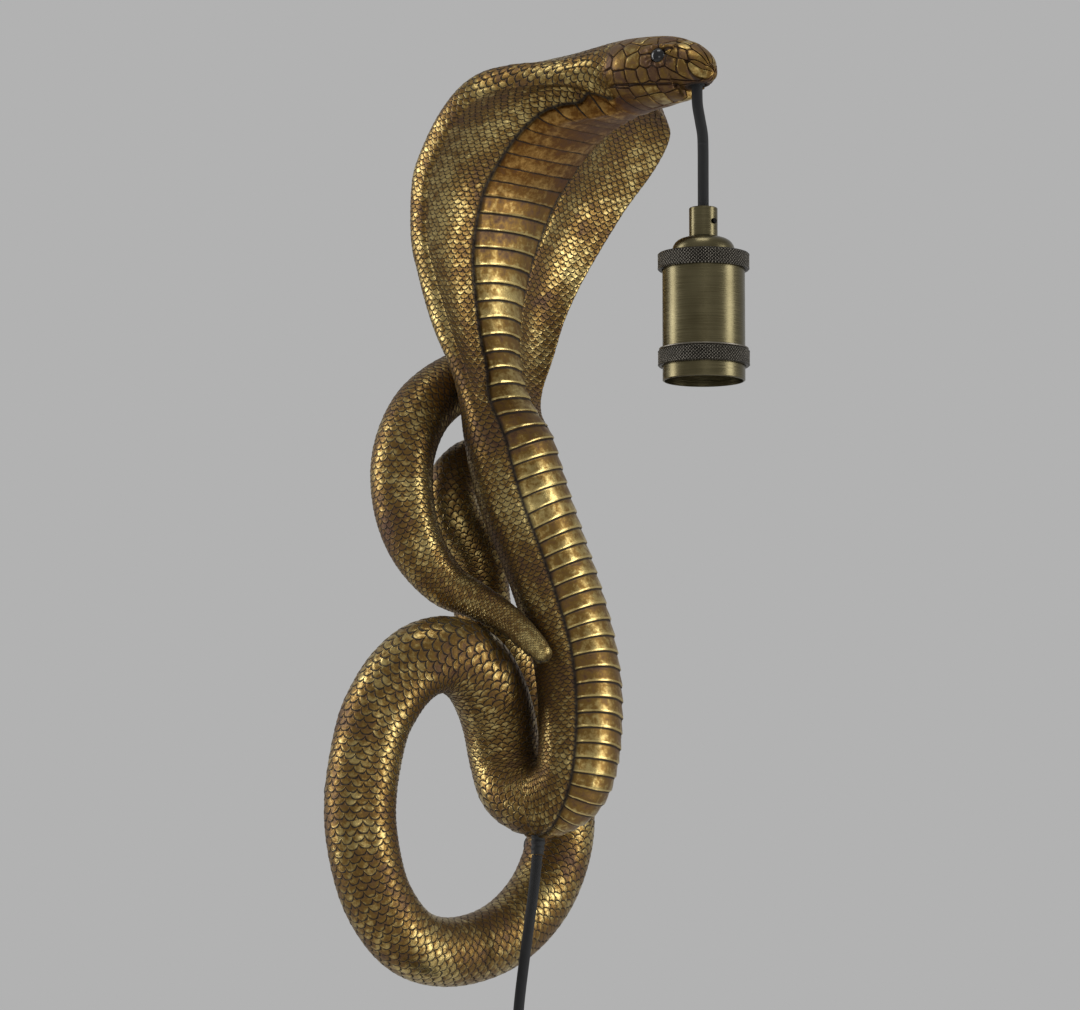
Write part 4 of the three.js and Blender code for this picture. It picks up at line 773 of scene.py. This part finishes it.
def gilded_resin(settings):
    """Cast resin, gold rubbed over a dark brown wash: soft metal on every raised edge, matt brown in every
    groove, deepened there by painted shade and painted shadow, a painted highlight along each belly plate's
    raised edge, painted shade darkening the whole head, and warm brown patches where the gold is thin."""
    made, node = fresh_material("Cast resin, antique gold over brown wash")
    scale_across, scale_along = node("SeparateXYZ", node("UVMap", uv_map="Scales"), output=slice(2))
    plate_along, plate_in = node("SeparateXYZ", node("UVMap", uv_map="Plates"), output=slice(2))
    head, head_plate_and_shade, plate_tone, ruddy = (
        node("Attribute", attribute_name=name, output="Fac") for name in ("head", "plate", "tone", "ruddy"))
    place = node("TexCoord", output="Object")

    # Lapping scales: rows half a scale apart, each scale with a rounded free edge
    half_rows = node("Math MULTIPLY", scale_along, 2.0)
    row = node("Math FRACT", half_rows)
    over = node("Math MULTIPLY", node("Math LESS_THAN", node("Math FRACT", scale_along), 0.5), 0.5)
    shifted = node("Math SUBTRACT", scale_across, over)
    number = node("Math ROUND", shifted)
    off = node("Math SUBTRACT", shifted, number)
    arc = node("Math MULTIPLY_ADD", node("Math MULTIPLY", off, off), -4.0, 1.0)
    edge = node("Math MULTIPLY", node("Math SQRT", node("Math MAXIMUM", arc, 0.0)), 0.94)
    past = node("Math SUBTRACT", edge, row)
    on_top = node(SMOOTH, past, -0.05, 0.05)
    lower, upper = node("Math MULTIPLY", row, 0.5), node("Math MULTIPLY_ADD", row, 0.45, 0.55)
    scale_height = node("Mix", {"Factor": on_top, "A": lower, "B": upper})
    # Brown wash and a painted shadow in the band just beyond each scale's free edge
    scale_wash_and_shadow = node(SMOOTH, node("Math ABSOLUTE", node("Math ADD", past, 0.06)), 0.04, 0.3)
    # Every scale has a tone of its own
    cell = node("CombineXYZ", number, node("Math SUBTRACT", node("Math FLOOR", half_rows), on_top))
    tone = node("TexWhiteNoise", {"Vector": cell}, noise_dimensions="2D", output="Value")

    # Belly plates: a painted highlight along each plate's raised edge, a narrow painted shadow under it, then
    # a plain plate
    within = node("Math FRACT", plate_along)
    rise = node("MapRange", within, 0.0, 0.9, 0.3, 1.0)
    plate_height = node("Math MULTIPLY", rise, node(SMOOTH, within, 0.995, 0.93))
    # Brown wash and a painted shadow at the step between one belly plate and the next
    plate_wash_and_shadow = node("Math MULTIPLY", node(SMOOTH, within, 0.99, 0.95), node(SMOOTH, within, 0.02, 0.13))
    # A painted highlight along the raised edge of each belly plate, kept off the ruddy throat
    painted_lip_highlight = node("Math MULTIPLY", node(SMOOTH, within, 0.8, 0.88), node(SMOOTH, within, 0.96, 0.91))
    on_belly = node(SMOOTH, plate_in, -0.03, 0.03)
    painted_lip_highlight = node("Math MULTIPLY", node("Math MULTIPLY", painted_lip_highlight, on_belly), node("Math SUBTRACT", 1.0, ruddy))
    # Painted shade along the groove beside the belly plates, in the wash colour
    crease_shade = node(SMOOTH, node("Math ABSOLUTE", node("Math ADD", plate_in, 0.04)), 0.01, 0.2, 0.08)

    # Grooves are 0 in line, which puts the brown wash and its painted shade into them, and raised is the
    # height of scales, head plates or belly plates
    # Head: brown wash in the grooves between plates and round the eye beads, and painted shade in the mouth,
    # pits, nostrils and the groove between the jaws
    head_wash_and_shade = node(SMOOTH, head_plate_and_shade, 0.0, 0.8, 0.3)
    line = node("Mix", {"Factor": head, "A": scale_wash_and_shadow, "B": head_wash_and_shade})
    line = node("Mix", {"Factor": on_belly, "A": line, "B": plate_wash_and_shadow})
    line = node("Math MULTIPLY", line, node("Mix", {"Factor": head, "A": crease_shade, "B": 1.0}))
    raised = node("Mix", {"Factor": head, "A": scale_height, "B": head_plate_and_shade})
    raised = node("Mix", {"Factor": on_belly, "A": raised, "B": plate_height})

    # Patches of thin gold a few centimetres across, mottling of a few millimetres and a fine tooth
    patches = node("TexNoise", {"Vector": place, "Scale": 28.0, "Detail": 3.0})
    mottle = node("TexNoise", {"Vector": place, "Scale": 260.0, "Detail": 4.0, "Roughness": 0.7})
    fine = node("TexNoise", {"Vector": place, "Scale": 1500.0, "Detail": 2.0})
    own_tone = node("Math SUBTRACT", node("Mix", {"Factor": head, "A": tone, "B": plate_tone}), 0.5)
    own_tone = node("Math MULTIPLY", own_tone, node("Math SUBTRACT", 1.0, on_belly))
    own_weight = node("Mix", {"Factor": head, "A": 0.25, "B": 0.5})
    # How much gold there is: each share times its weight, from a start that puts the middle at 0.5
    gold = -1.47
    # The head's negative share is painted shade: it darkens the gold all over the head
    shares = (
        (mottle, 1.7), (patches, 1.7), (own_tone, own_weight), (raised, 0.45), (painted_lip_highlight, 0.5), (head, -0.36),
    )
    for share, weight in shares:
        gold = node("Math MULTIPLY_ADD", share, weight, gold)
    stops = [(0.0, settings.thin_hex), (1.0, settings.bright_hex), (0.5, settings.gold_hex)]
    colour = node("ValToRGB", gold, stops=[(position, hex_colour(text)) for position, text in stops])
    colour = node("Mix RGBA", {"Factor": ruddy, "A": colour, "B": hex_colour(settings.throat_hex)},
                  blend_type="MULTIPLY", output="Result")
    # The wash colour goes where line is 0: real wash in the grooves, darkened further there by painted shade
    colour = node("Mix RGBA", {"Factor": line, "A": hex_colour(settings.wash_hex), "B": colour},
                  output="Result")
    metal = node("Math MULTIPLY", node(SMOOTH, gold, 0.1, 0.5, 0.55, 0.92), node(SMOOTH, line, 0.0, 0.6))
    groove_rough = node(SMOOTH, line, 0.0, 0.6, 0.5, 0.0)
    rough = node("Math ADD", node("MapRange", gold, 0.1, 0.9, 0.5, 0.27), groove_rough)
    depth = raised
    for share, weight in ((mottle, 0.25), (fine, 0.05), (line, 0.35)):
        depth = node("Math MULTIPLY_ADD", share, weight, depth)
    return surfaced(made, node, colour, depth, 0.0005, 1.0, {"Metallic": metal, "Roughness": rough})


def brushed_brass(name, colour, grain, roughness):
    """Brass brushed round the axis and lacquered brown: long soft streaks run round it, and broad
    highlights stand upright. grain is the number of brush lines to a metre up the axis."""
    made, node = fresh_material(name)
    place = node("TexCoord", output="Object")
    stretched = node("Mapping", {"Vector": place, "Scale": (30, 30, grain)})
    lines = node("TexNoise", {"Vector": stretched, "Scale": 1.0, "Detail": 3.0, "Roughness": 0.6})
    cloudy = node("TexNoise", {"Vector": place, "Scale": 60.0, "Detail": 3.0})
    tone = node("Math MULTIPLY_ADD", lines, 0.65, cloudy)
    stops = [(0.5, tinted(colour, 0.72, 0.7, 0.66)), (1.0, tinted(colour, 1.22, 1.22, 1.22))]
    rough = node("MapRange", lines, 0.3, 0.7, roughness - 0.07, roughness + 0.07)
    return surfaced(made, node, node("ValToRGB", tone, stops=stops), lines, 0.00006, 0.5,
                    {"Metallic": 1.0, "Roughness": rough})


def knurled_brass(colour, groove):
    """Brass with a rolled diamond knurl, blackened and rubbed: grey tips over black grooves. The
    pattern lies on the cut diamonds, a pitch apart round the ring and up it."""
    made, node = fresh_material("Brass, knurled and blackened")
    place = node("TexCoord", output="Object")
    round_ring, up = node("SeparateXYZ", node("UVMap", uv_map="Turned"), output=slice(2))
    waves = []
    for slant in ("Math ADD", "Math SUBTRACT"):
        part = node("Math FRACT", node("Math DIVIDE", node(slant, round_ring, up), KNURL_PITCH))
        waves.append(node("Math ABSOLUTE", node("Math SUBTRACT", part, 0.5)))
    tip = node(SMOOTH, node("Math MINIMUM", *waves), 0.05, 0.4)
    cloudy = node("TexNoise", {"Vector": place, "Scale": 400.0, "Detail": 3.0})
    tone = node("Math MULTIPLY_ADD", cloudy, 0.2, tip)
    stops = [(0.1, hex_colour(groove)), (1.0, hex_colour(colour))]
    return surfaced(made, node, node("ValToRGB", tone, stops=stops), tip, 0.0003, 1.0,
                    {"Metallic": 1.0, "Roughness": 0.4})


def plain_surface(name, colour, roughness, metallic=0.0, speck=0.08, grain=900.0, depth=0.00003, coat=0.0):
    """A moulded, turned or glazed surface: an even colour with a fine tooth in its gloss and bump.
    speck is how far the colour strays, grain the grains to a metre and depth the bump in metres."""
    made, node = fresh_material(name)
    place = node("TexCoord", output="Object")
    tooth = node("TexNoise", {"Vector": place, "Scale": grain, "Detail": 3.0})
    stops = [(0.3, tinted(colour, *[1 - speck] * 3)), (0.7, tinted(colour, *[1 + speck] * 3))]
    rough = node("MapRange", tooth, 0.3, 0.7, max(0.03, roughness - 0.05), roughness + 0.05)
    return surfaced(made, node, node("ValToRGB", tooth, stops=stops), tooth, depth, 0.5,
                    {"Metallic": metallic, "Roughness": rough, "Coat Weight": coat})


def braided_textile(colour_low, colour_high):
    """Black polyester yarn braided over the flex: small slanting stitches with a dull sheen."""
    made, node = fresh_material("Polyester yarn, braided black")
    braid, place = node("UVMap", uv_map="Braid"), node("TexCoord", output="Object")
    cell = node("TexVoronoi", {"Vector": braid, "Scale": 1.0, "Exponent": 4.0, "Randomness": 0.0},
                voronoi_dimensions="2D", distance="MINKOWSKI", output="Distance")
    fuzz = node("TexNoise", {"Vector": place, "Scale": 2200.0, "Detail": 2.0})
    height = node("Math MULTIPLY_ADD", fuzz, 0.5, node(SMOOTH, cell, 0.52, 0.2))
    # The stitches darken from their tops into the gaps between them: painted shade
    stops = [(0.25, hex_colour(colour_low)), (1.0, hex_colour(colour_high))]
    return surfaced(made, node, node("ValToRGB", height, stops=stops), height, 0.0003, 0.8,
                    {"Roughness": 0.82, "Sheen Weight": 0.05, "Sheen Roughness": 0.5})


MATERIALS = {}


def make_materials(settings):
    MATERIALS.update({
        "skin": gilded_resin(settings),
        "brass": brushed_brass("Brass, brushed round and antiqued", settings.brass_hex, 2600, 0.3),
        "dark_brass": brushed_brass("Brass, turned and blackened", settings.dark_brass_hex, 1500, 0.42),
        "knurl": knurled_brass(settings.dark_brass_hex, "#15130F"),
        "wash": plain_surface("Cast resin, brown wash", "#3B2A17", 0.5, metallic=0.6, speck=0.25,
                              grain=300.0),
        "grub": plain_surface("Steel, black oxide", "#141312", 0.45, metallic=1.0),
        "eye": plain_surface("Glass bead, black, polished", "#070605", 0.13, speck=0.02, depth=0.000002),
        "steel": plain_surface("Steel, zinc plated, turned", "#A9A9A4", 0.35, metallic=1.0),
        "rubber": plain_surface("Rubber, moulded black", "#0F0F0F", 0.7),
        "cord": braided_textile("#020202", "#141517"),
        "porcelain": plain_surface("Porcelain, white glaze", "#E4E0D6", 0.14, speck=0.03, grain=120.0,
                                   coat=0.6),
        "plastic": plain_surface("ABS, moulded black", "#161616", 0.42, speck=0.1, grain=1600.0),
        "tie": plain_surface("Nylon hook and loop, woven black", "#1D1D1F", 0.95, speck=0.35, grain=1400.0,
                             depth=0.0003),
        "core_brown": plain_surface("PVC, brown core", "#5A3116", 0.5),
        "core_blue": plain_surface("PVC, blue core", "#21406F", 0.5),
    })


# What a user would change


class CobraSkinSettings(bpy.types.PropertyGroup):
    skin_step: FloatProperty(
        name="Skin step", description="Distance between skin points in millimetres", default=0.9, min=0.4)
    hood_columns: IntProperty(name="Hood columns", description="Points round the hood", default=380, min=64)
    scale_length: FloatProperty(
        name="Scale length", description="Length of a scale over its width", default=1.0)
    scale_height: FloatProperty(
        name="Scale height", description="How proud a scale stands in millimetres", default=0.7)
    hood_scale: FloatProperty(
        name="Hood scale", description="Width of a scale on the hood in millimetres", default=4.6)
    belly_angle: FloatProperty(
        name="Belly half angle", description="How far the belly plates reach round the body",
        default=0.82, subtype="ANGLE")
    scute_spacing: FloatProperty(
        name="Belly plate spacing", description="Millimetres between belly plates on the body", default=8.2)
    hood_scute_spacing: FloatProperty(
        name="Hood plate spacing", description="Millimetres between belly plates on the hood", default=9.0)
    scute_height: FloatProperty(
        name="Belly plate height", description="How proud a belly plate stands in millimetres", default=1.25)
    turned_segments: IntProperty(
        name="Turned segments", description="Sides of each turned piece", default=96, min=24)
    cord_sides: IntProperty(name="Cord sides", description="Sides of each cord", default=14, min=8)
    braid_pitch: FloatProperty(
        name="Braid pitch", description="Width of a stitch of the braid in millimetres", default=1.25)
    wash_hex: StringProperty(name="Wash", description="sRGB colour left in the grooves", default="#1C130A")
    thin_hex: StringProperty(
        name="Thin gold", description="sRGB colour where the wash shows through", default="#4E321A")
    gold_hex: StringProperty(name="Gold", description="sRGB colour of the gold", default="#765B2D")
    bright_hex: StringProperty(
        name="Bright gold", description="sRGB colour of rubbed edges", default="#BCA76C")
    throat_hex: StringProperty(
        name="Throat", description="sRGB colour of the ruddy throat", default="#DCC0A4")
    brass_hex: StringProperty(name="Brass", description="sRGB colour of the lampholder", default="#5E5740")
    dark_brass_hex: StringProperty(
        name="Dark brass", description="sRGB colour of the knurled rings", default="#706B62")


class CobraStageSettings(bpy.types.PropertyGroup):
    backdrop: FloatVectorProperty(
        name="Backdrop", description="Colour behind the lamp", default=hex_colour("#B2B2B2")[:3],
        subtype="COLOR", size=3)
    key_power: FloatProperty(
        name="Key light", description="Power of the large soft light", default=9.0, unit="POWER")
    azimuth: FloatProperty(
        name="Camera azimuth", description="Where the camera stands round the lamp",
        default=math.radians(-45), subtype="ANGLE")
    elevation: FloatProperty(
        name="Camera elevation", description="How high the camera looks from",
        default=math.radians(-7), subtype="ANGLE")
    distance: FloatProperty(
        name="Camera distance", description="From the camera to the lamp", default=2.5, unit="LENGTH")


class OBJECT_OT_cobra_hood(bpy.types.Operator):
    """Makes the neck, spread hood and head"""
    bl_idname = "object.cobra_hood"
    bl_label = "Cobra hood and head"

    def execute(self, context):
        stand_for(hood_skin(context.scene.cobra_skin), "skin", "lamp", "cast_gold", "hood_casting")
        return {"FINISHED"}


class OBJECT_OT_cobra_body(bpy.types.Operator):
    """Makes the main body, the rising limb, the big coil and the tail"""
    bl_idname = "object.cobra_body"
    bl_label = "Cobra body and coils"

    def execute(self, context):
        settings = context.scene.cobra_skin
        lengths = [
            ("cobra_main_body", 0, TURN_BOTTOM, 34, "body_casting", False),
            ("cobra_rising_limb", TURN_BOTTOM, SEAM_BODY, 22, "body_casting", False),
            ("cobra_big_coil", SEAM_BODY, SEAM_TAIL, 18, "coil_casting", False),
            ("cobra_tail", SEAM_TAIL, len(body_rows()) - 1, 20, "tail_casting", True),
        ]
        for name, first, last, around, node, tip in lengths:
            piece = body_skin(name, first, last, around, settings, tip)
            stand_for(piece, "skin", "lamp", "cast_gold", node)
        boss = turned_piece("mounting_boss", [
            (0.01, -9.6), (7.4, -9.6), (7.4, -3.2), (11.8, -3.2), (11.8, 0), (14.4, 0), (15, -0.6), (15, -4),
            (14.6, -4.4), (7.5, -11), (0.01, -11),
        ], settings.turned_segments, centre=(0, 0))
        lay_along(boss, BOSS_PLACE, [(1, 0, 0), (0, 0, -1), (0, 1, 0)])
        stand_for(boss, "wash", "lamp", "cast_gold", "tail_casting")
        return {"FINISHED"}


class OBJECT_OT_cobra_eyes(bpy.types.Operator):
    """Sets the two black glass eyes"""
    bl_idname = "object.cobra_eyes"
    bl_label = "Cobra eyes"

    def execute(self, context):
        off, y, z = EYE
        turns = np.linspace(-math.pi / 2 + 0.02, math.pi / 2 - 0.02, 40)
        profile = [(EYE_RADIUS * math.cos(t), z + EYE_RADIUS * math.sin(t)) for t in turns]
        for name, way in (("eye_left", -1), ("eye_right", 1)):
            piece = turned_piece(f"glass_{name}", profile, 64, centre=(HOOD_X + way * off, y))
            stand_for(piece, "eye", "lamp", "glass_eye", name)
        return {"FINISHED"}


class OBJECT_OT_cobra_holder(bpy.types.Operator):
    """Turns the pieces of the lampholder"""
    bl_idname = "object.cobra_holder"
    bl_label = "Lampholder"

    def execute(self, context):
        settings = context.scene.cobra_skin
        # E27 lamp thread: 7 turns to the inch, rounded, drawn as rings
        z = np.linspace(16.2, 38.0, 150)
        wave = 14.15 - 0.42 * np.cos((z - 16.2) / 3.63 * 2 * math.pi)
        thread = [*zip(wave - 0.25, z), *zip(wave[::-1] + 0.1, z[::-1])]
        # Name, look, slot, body and the solid it stands for; profile; heights of the knurl
        pieces = [
            ("holder_grip_tube brass brass holder cord_grip", [
                (3.3, 73.7), (5.2, 73.7), (5.2, 69.6), (7.2, 69.6), (7.2, 84), (6.8, 84.4),
                (3.3, 84.4)], None),
            ("holder_dome_cap brass brass holder dome_cap", [
                (5.2, 69.3), (7.6, 69.25), (9.8, 68.9), (11.6, 68.3), (13.1, 67.5), (14.3, 66.4), (15.2, 65),
                (15.8, 63.2), (16.1, 61.2), (16.2, 59.4), (16.2, 58.75), (19.6, 58.75), (19.6, 51.7),
                (18.65, 51.7), (18.65, 57.8), (15.25, 57.8), (15.2, 60.5), (14.9, 62.6), (14.2, 64.6),
                (13.1, 66), (11.5, 67.2), (9.4, 67.9), (7.2, 68.25), (5.2, 68.35)], None),
            ("holder_upper_ring knurl dark_brass holder upper_ring", [
                (16.5, 60), (16.5, 60.8), (22.7, 60.8), (RING_RADIUS, 60.3), (RING_RADIUS, 53.1),
                (22.7, 52.6), (RING_BORE, 52.6), (RING_BORE, 60)], (53.3, 60.1)),
            ("holder_outer_shell brass brass holder outer_shell", [
                (19.9, -4), (20.3, -4.0), (20.85, -3.6), (20.85, 58.4), (20.5, 58.7), (19.9, 58.7)], None),
            ("holder_shade_washer dark_brass dark_brass washer shade_washer", [
                (RING_BORE, 11.7), (22.4, 11.7), (22.6, 11.9), (22.6, 12.4), (22.4, 12.6), (RING_BORE, 12.6)],
             None),
            ("holder_shade_ring knurl dark_brass ring shade_ring", [
                (RING_BORE, 3.5), (22.7, 3.5), (RING_RADIUS, 4), (RING_RADIUS, 10.9), (22.7, 11.4),
                (RING_BORE, 11.4)], (4.2, 10.7)),
            ("holder_insulator porcelain porcelain holder insulator", [
                (0.01, 40), (15, 40), (15, 11), (16, 9), (19.2, 9), (19.6, 9.4), (19.6, 44), (17.6, 46),
                (0.01, 46)], None),
            ("holder_lamp_thread brass brass holder lamp_thread", thread, None),
        ]
        for words, profile, knurl in pieces:
            name, look, slot, body, node = words.split()
            segments = 8 * KNURL_TEETH if knurl else settings.turned_segments
            stand_for(turned_piece(name, profile, segments, knurl=knurl), look, body, slot, node)
        grub = turned_piece("holder_grub_screw", [
            (0.01, -8.1), (1.45, -8.1), (1.45, 0.0), (1.2, 0.3), (0.01, 0.3)], 32, centre=(0, 0))
        lay_along(grub, GRUB_PLACE, [(1, 0, 0), (0, 0, 1), (0, -1, 0)])
        stand_for(grub, "grub", "holder", "steel", "grub_screw")
        return {"FINISHED"}


def hanging_line():
    """The mains lead from the strain relief to the coil's entry."""
    return np.array([
        BOOT_TIP + unit(BOOT_TIP - BOOT_TOP) * 0.3, [28.9, -60.2, -250], [27.8, -57.3, -272],
        [26.7, -54.4, -293], [25.7, -51.9, -314], [25.1, -50.4, -335], [25, -50, -352],
        COIL_ENTRY + [0, 0, 2 * CORD_RADIUS + 0.3],
    ])


def coil_line():
    """The stored coil: four layers of two turns, spiralling in and out, which climb as they reverse."""
    inner, pitch, layer_pitch, climb_turns = 25.0, 7.0, 6.6, 0.25
    turns_each, layers, points_each = 2, 4, 96
    middle = COIL_ENTRY - [inner + pitch * (turns_each - climb_turns), 0, 0]
    made = []
    for turns in np.linspace(0, turns_each * layers, turns_each * layers * points_each + 1):
        layer = min(int(turns / turns_each + 1e-9), layers - 1)
        within = turns - layer * turns_each
        start = 0 if layer == 0 else climb_turns
        stop = turns_each - (0 if layer == layers - 1 else climb_turns)
        travel = min(max(within, start), stop)
        radius = inner + pitch * (stop - travel if layer % 2 == 0 else travel - start)
        out = layer_pitch * (layer - (travel - within) / (2 * climb_turns))
        angle = -turns * 2 * math.pi
        made.append(middle + [radius * math.cos(angle), out, radius * math.sin(angle)])
    return np.array(made)


def boot_profile():
    """Strain relief: a boot tapered over its length, with soft ribs on its lower half."""
    down = np.linspace(0, 1, 60)
    ribs = 0.22 * (np.cos(down * BOOT_RIBS * 2 * math.pi) - 1) * (down > 0.5)
    length = np.linalg.norm(BOOT_TIP - BOOT_TOP)
    return [(2.95, 0), *zip(4.4 - 0.9 * down + ribs, -down * length), (2.95, -length)]


class OBJECT_OT_cobra_cords(bpy.types.Operator):
    """Hangs the pendant cord and the mains lead with its coil"""
    bl_idname = "object.cobra_cords"
    bl_label = "Cords"

    def execute(self, context):
        settings = context.scene.cobra_skin
        line = cord_curve([
            (HOOD_X, MOUTH_Y, 151), (HOOD_X, MOUTH_Y, 145), (HOOD_X, MOUTH_Y - 0.3, 138),
            (HOOD_X, MOUTH_Y - 2, 130), (HOOD_X, HOLDER_Y + 0.3, 122), (HOOD_X, HOLDER_Y, 115),
            (HOOD_X, HOLDER_Y, 100), (HOOD_X, HOLDER_Y, 56.7),
        ], 1.2)
        # Two lengths, which bend at the mouth and above the lampholder and meet where both hang straight
        meet = int(np.argmin(np.abs(line[:, 2] - CORD_MEET_Z)))
        lengths = [
            ("pendant_cord_top", line[:meet + 1], "pendant_cord_upper",
             ("lamp", MOUTH_Y, 149.5), ("cord", HOLDER_Y, 124.5)),
            ("pendant_cord_drop", line[meet:], "pendant_cord_lower",
             ("cord", HOLDER_Y, 116.0), ("holder", HOLDER_Y, 92.0)),
        ]
        begin = 0.0
        for name, part, node, start, end in lengths:
            piece = cord_piece(name, part, settings, begin)
            wear(piece, "cord")
            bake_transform(piece)
            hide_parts(node)
            long = running_length(part)[-1]
            begin += long
        coil = coil_line()
        drop = [coil[-1] - [0, 0, down] for down in np.arange(1.5, LEAD_DROP, 1.5)]
        hanging = cord_curve(hanging_line(), 1.5)
        mains = without_repeats(np.vstack([hanging, coil[:1] + [0, 0, 3.0], coil, drop]))
        mains_piece = cord_piece("braided_lead", mains, settings)
        stand_for(mains_piece, "cord", "lamp", "textile_cord", "mains_lead", "lead_coil", "switch_lead",
                  "plug_lead")
        boot = turned_piece("strain_relief_boot", boot_profile(), 48, centre=(0, 0))
        way = unit(BOOT_TIP - BOOT_TOP)
        across = square_to(np.array([1.0, 0, 0]), way)
        lay_along(boot, BOOT_TOP, [across, np.cross(way, across), -way])
        stand_for(boot, "rubber", "lamp", "rubber", "strain_relief")
        return {"FINISHED"}


class OBJECT_OT_cobra_small_pieces(bpy.types.Operator):
    """Finishes the solids that show as they are: hanger, bumpers, switch, plug and contacts"""
    bl_idname = "object.cobra_small_pieces"
    bl_label = "Hanger, switch and plug"

    def execute(self, context):
        looks = {
            "steel": ("seam_sleeve", "coil_dowel", "tail_dowel", "hanger_plate", "hanger_screw_left",
                      "hanger_screw_right", "threaded_nipple", "nipple_nut", "terminal_screw_live",
                      "terminal_screw_neutral", "switch_screw_1", "switch_screw_2", "plug_pin_left",
                      "plug_pin_right"),
            "rubber": ("wall_bumper_1", "wall_bumper_2", "wall_bumper_3", "mouth_bush"),
            "brass": ("centre_contact",),
            "plastic": ("switch_cover", "switch_base", "switch_rocker", "plug_body"),
            "tie": ("lead_tie",),
            "cord": ("inner_lead",),
            "core_brown": ("core_live",),
            "core_blue": ("core_neutral",),
        }
        for look, names in looks.items():
            for name in names:
                wear(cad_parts[name], look)
        return {"FINISHED"}


class SCENE_OT_cobra_stage(bpy.types.Operator):
    """Sets the pale floor, the studio lights and the camera"""
    bl_idname = "scene.cobra_stage"
    bl_label = "Studio"

    def execute(self, context):
        scene, stage = context.scene, context.scene.cobra_stage
        a, e = stage.azimuth, stage.elevation
        back = Vector((math.sin(a) * math.cos(e), -math.cos(a) * math.cos(e), math.sin(e)))
        aim = Vector(CAMERA_AIM) * MM
        camera_data = bpy.data.cameras.new("camera")
        camera_data.sensor_width = 36
        camera_data.lens = CAMERA_LENS
        camera_data.clip_end = 100
        camera = bpy.data.objects.new("camera", camera_data)
        scene.collection.objects.link(camera)
        camera.location = aim + back * stage.distance
        camera.rotation_euler = (-back).to_track_quat("-Z", "Y").to_euler()
        scene.camera = camera

        # Floor, 12 m wide and well below the lamp
        corners = np.array([(-6, -6, -1.5), (6, -6, -1.5), (6, 6, -1.5), (-6, 6, -1.5)]) / MM
        floor = make_piece("floor", corners, [np.array([[0, 1, 2, 3]])], smooth=False)
        MATERIALS["floor"], node = fresh_material("Paper, pale grey matt")
        rough = node("MapRange", {"Value": node("TexNoise", {"Scale": 30.0, "Detail": 2.0}), "To Min": 0.86,
                                  "To Max": 0.94})
        paper = node("BsdfPrincipled", {"Base Color": hex_colour("#DCDCDC"), "Roughness": rough})
        node("OutputMaterial", paper)
        wear(floor, "floor")

        # The backdrop's colour is what the camera and reflections see; the light from it is weaker
        world = bpy.data.worlds.new("studio")
        scene.world = world
        world.use_nodes = True
        world.node_tree.nodes.clear()
        node = partial(add_node, world.node_tree)
        seen, mirrored, passed = (
            node("LightPath", output=f"Is {ray} Ray") for ray in ("Camera", "Glossy", "Transmission"))
        seen = node("Math ADD", seen, node("Math ADD", mirrored, passed), use_clamp=True)
        shown = node("Background", (*stage.backdrop, 1), 1.0)
        lighting = node("Background", (1, 1, 1, 1), 0.5)
        node("OutputWorld", node("MixShader", seen, lighting, shown))

        # Two tall softboxes at the sides leave a dark band up the middle of every round piece
        right = Vector((-back).cross(Vector((0, 0, 1)))).normalized()
        lights = [
            ("left strip", -1.95, 0.4, -0.2, 0.7, 2.2, 3.0),
            ("right strip", 1.9, 0.0, 0.6, 0.7, 2.4, 2.8),
            ("front", 0.2, -0.1, 2.6, 1.0, 1.0, 0.55),
            ("top", 0.0, 1.9, 0.5, 0.8, 0.8, 0.9),
        ]
        for name, along, up, near, width, height, share in lights:
            data = bpy.data.lights.new(name, "AREA")
            data.shape = "RECTANGLE"
            data.size, data.size_y, data.energy = width, height, stage.key_power * share
            lamp = bpy.data.objects.new(name, data)
            scene.collection.objects.link(lamp)
            lamp.location = aim + right * along + Vector((0, 0, up)) + back * near
            lamp.rotation_euler = (lamp.location - aim).to_track_quat("Z", "Y").to_euler()
        scene.view_settings.view_transform = "Standard"
        return {"FINISHED"}


class VIEW3D_PT_cobra(bpy.types.Panel):
    """Lists the lamp's settings and the steps that build it"""
    bl_label = "Cobra lamp"
    bl_idname = "VIEW3D_PT_cobra"
    bl_space_type = "VIEW_3D"
    bl_region_type = "UI"
    bl_category = "Cobra lamp"

    def draw(self, context):
        for group in (context.scene.cobra_skin, context.scene.cobra_stage):
            for name in group.__annotations__:
                self.layout.prop(group, name)
        for step in STEPS:
            self.layout.operator(step.bl_idname)


STEPS = (
    OBJECT_OT_cobra_cords, OBJECT_OT_cobra_hood, OBJECT_OT_cobra_body, OBJECT_OT_cobra_eyes,
    OBJECT_OT_cobra_holder, OBJECT_OT_cobra_small_pieces, SCENE_OT_cobra_stage,
)
CLASSES = (CobraSkinSettings, CobraStageSettings, *STEPS, VIEW3D_PT_cobra)


def register():
    for made in CLASSES:
        bpy.utils.register_class(made)
    bpy.types.Scene.cobra_skin = PointerProperty(type=CobraSkinSettings)
    bpy.types.Scene.cobra_stage = PointerProperty(type=CobraStageSettings)


def unregister():
    del bpy.types.Scene.cobra_stage
    del bpy.types.Scene.cobra_skin
    for made in reversed(CLASSES):
        bpy.utils.unregister_class(made)


def main():
    register()
    make_materials(bpy.context.scene.cobra_skin)
    bpy.ops.scene.cobra_stage()
    bpy.ops.object.cobra_cords()
    bpy.ops.object.cobra_hood()
    bpy.ops.object.cobra_body()
    bpy.ops.object.cobra_eyes()
    bpy.ops.object.cobra_holder()
    bpy.ops.object.cobra_small_pieces()


if __name__ == "__main__":
    main()
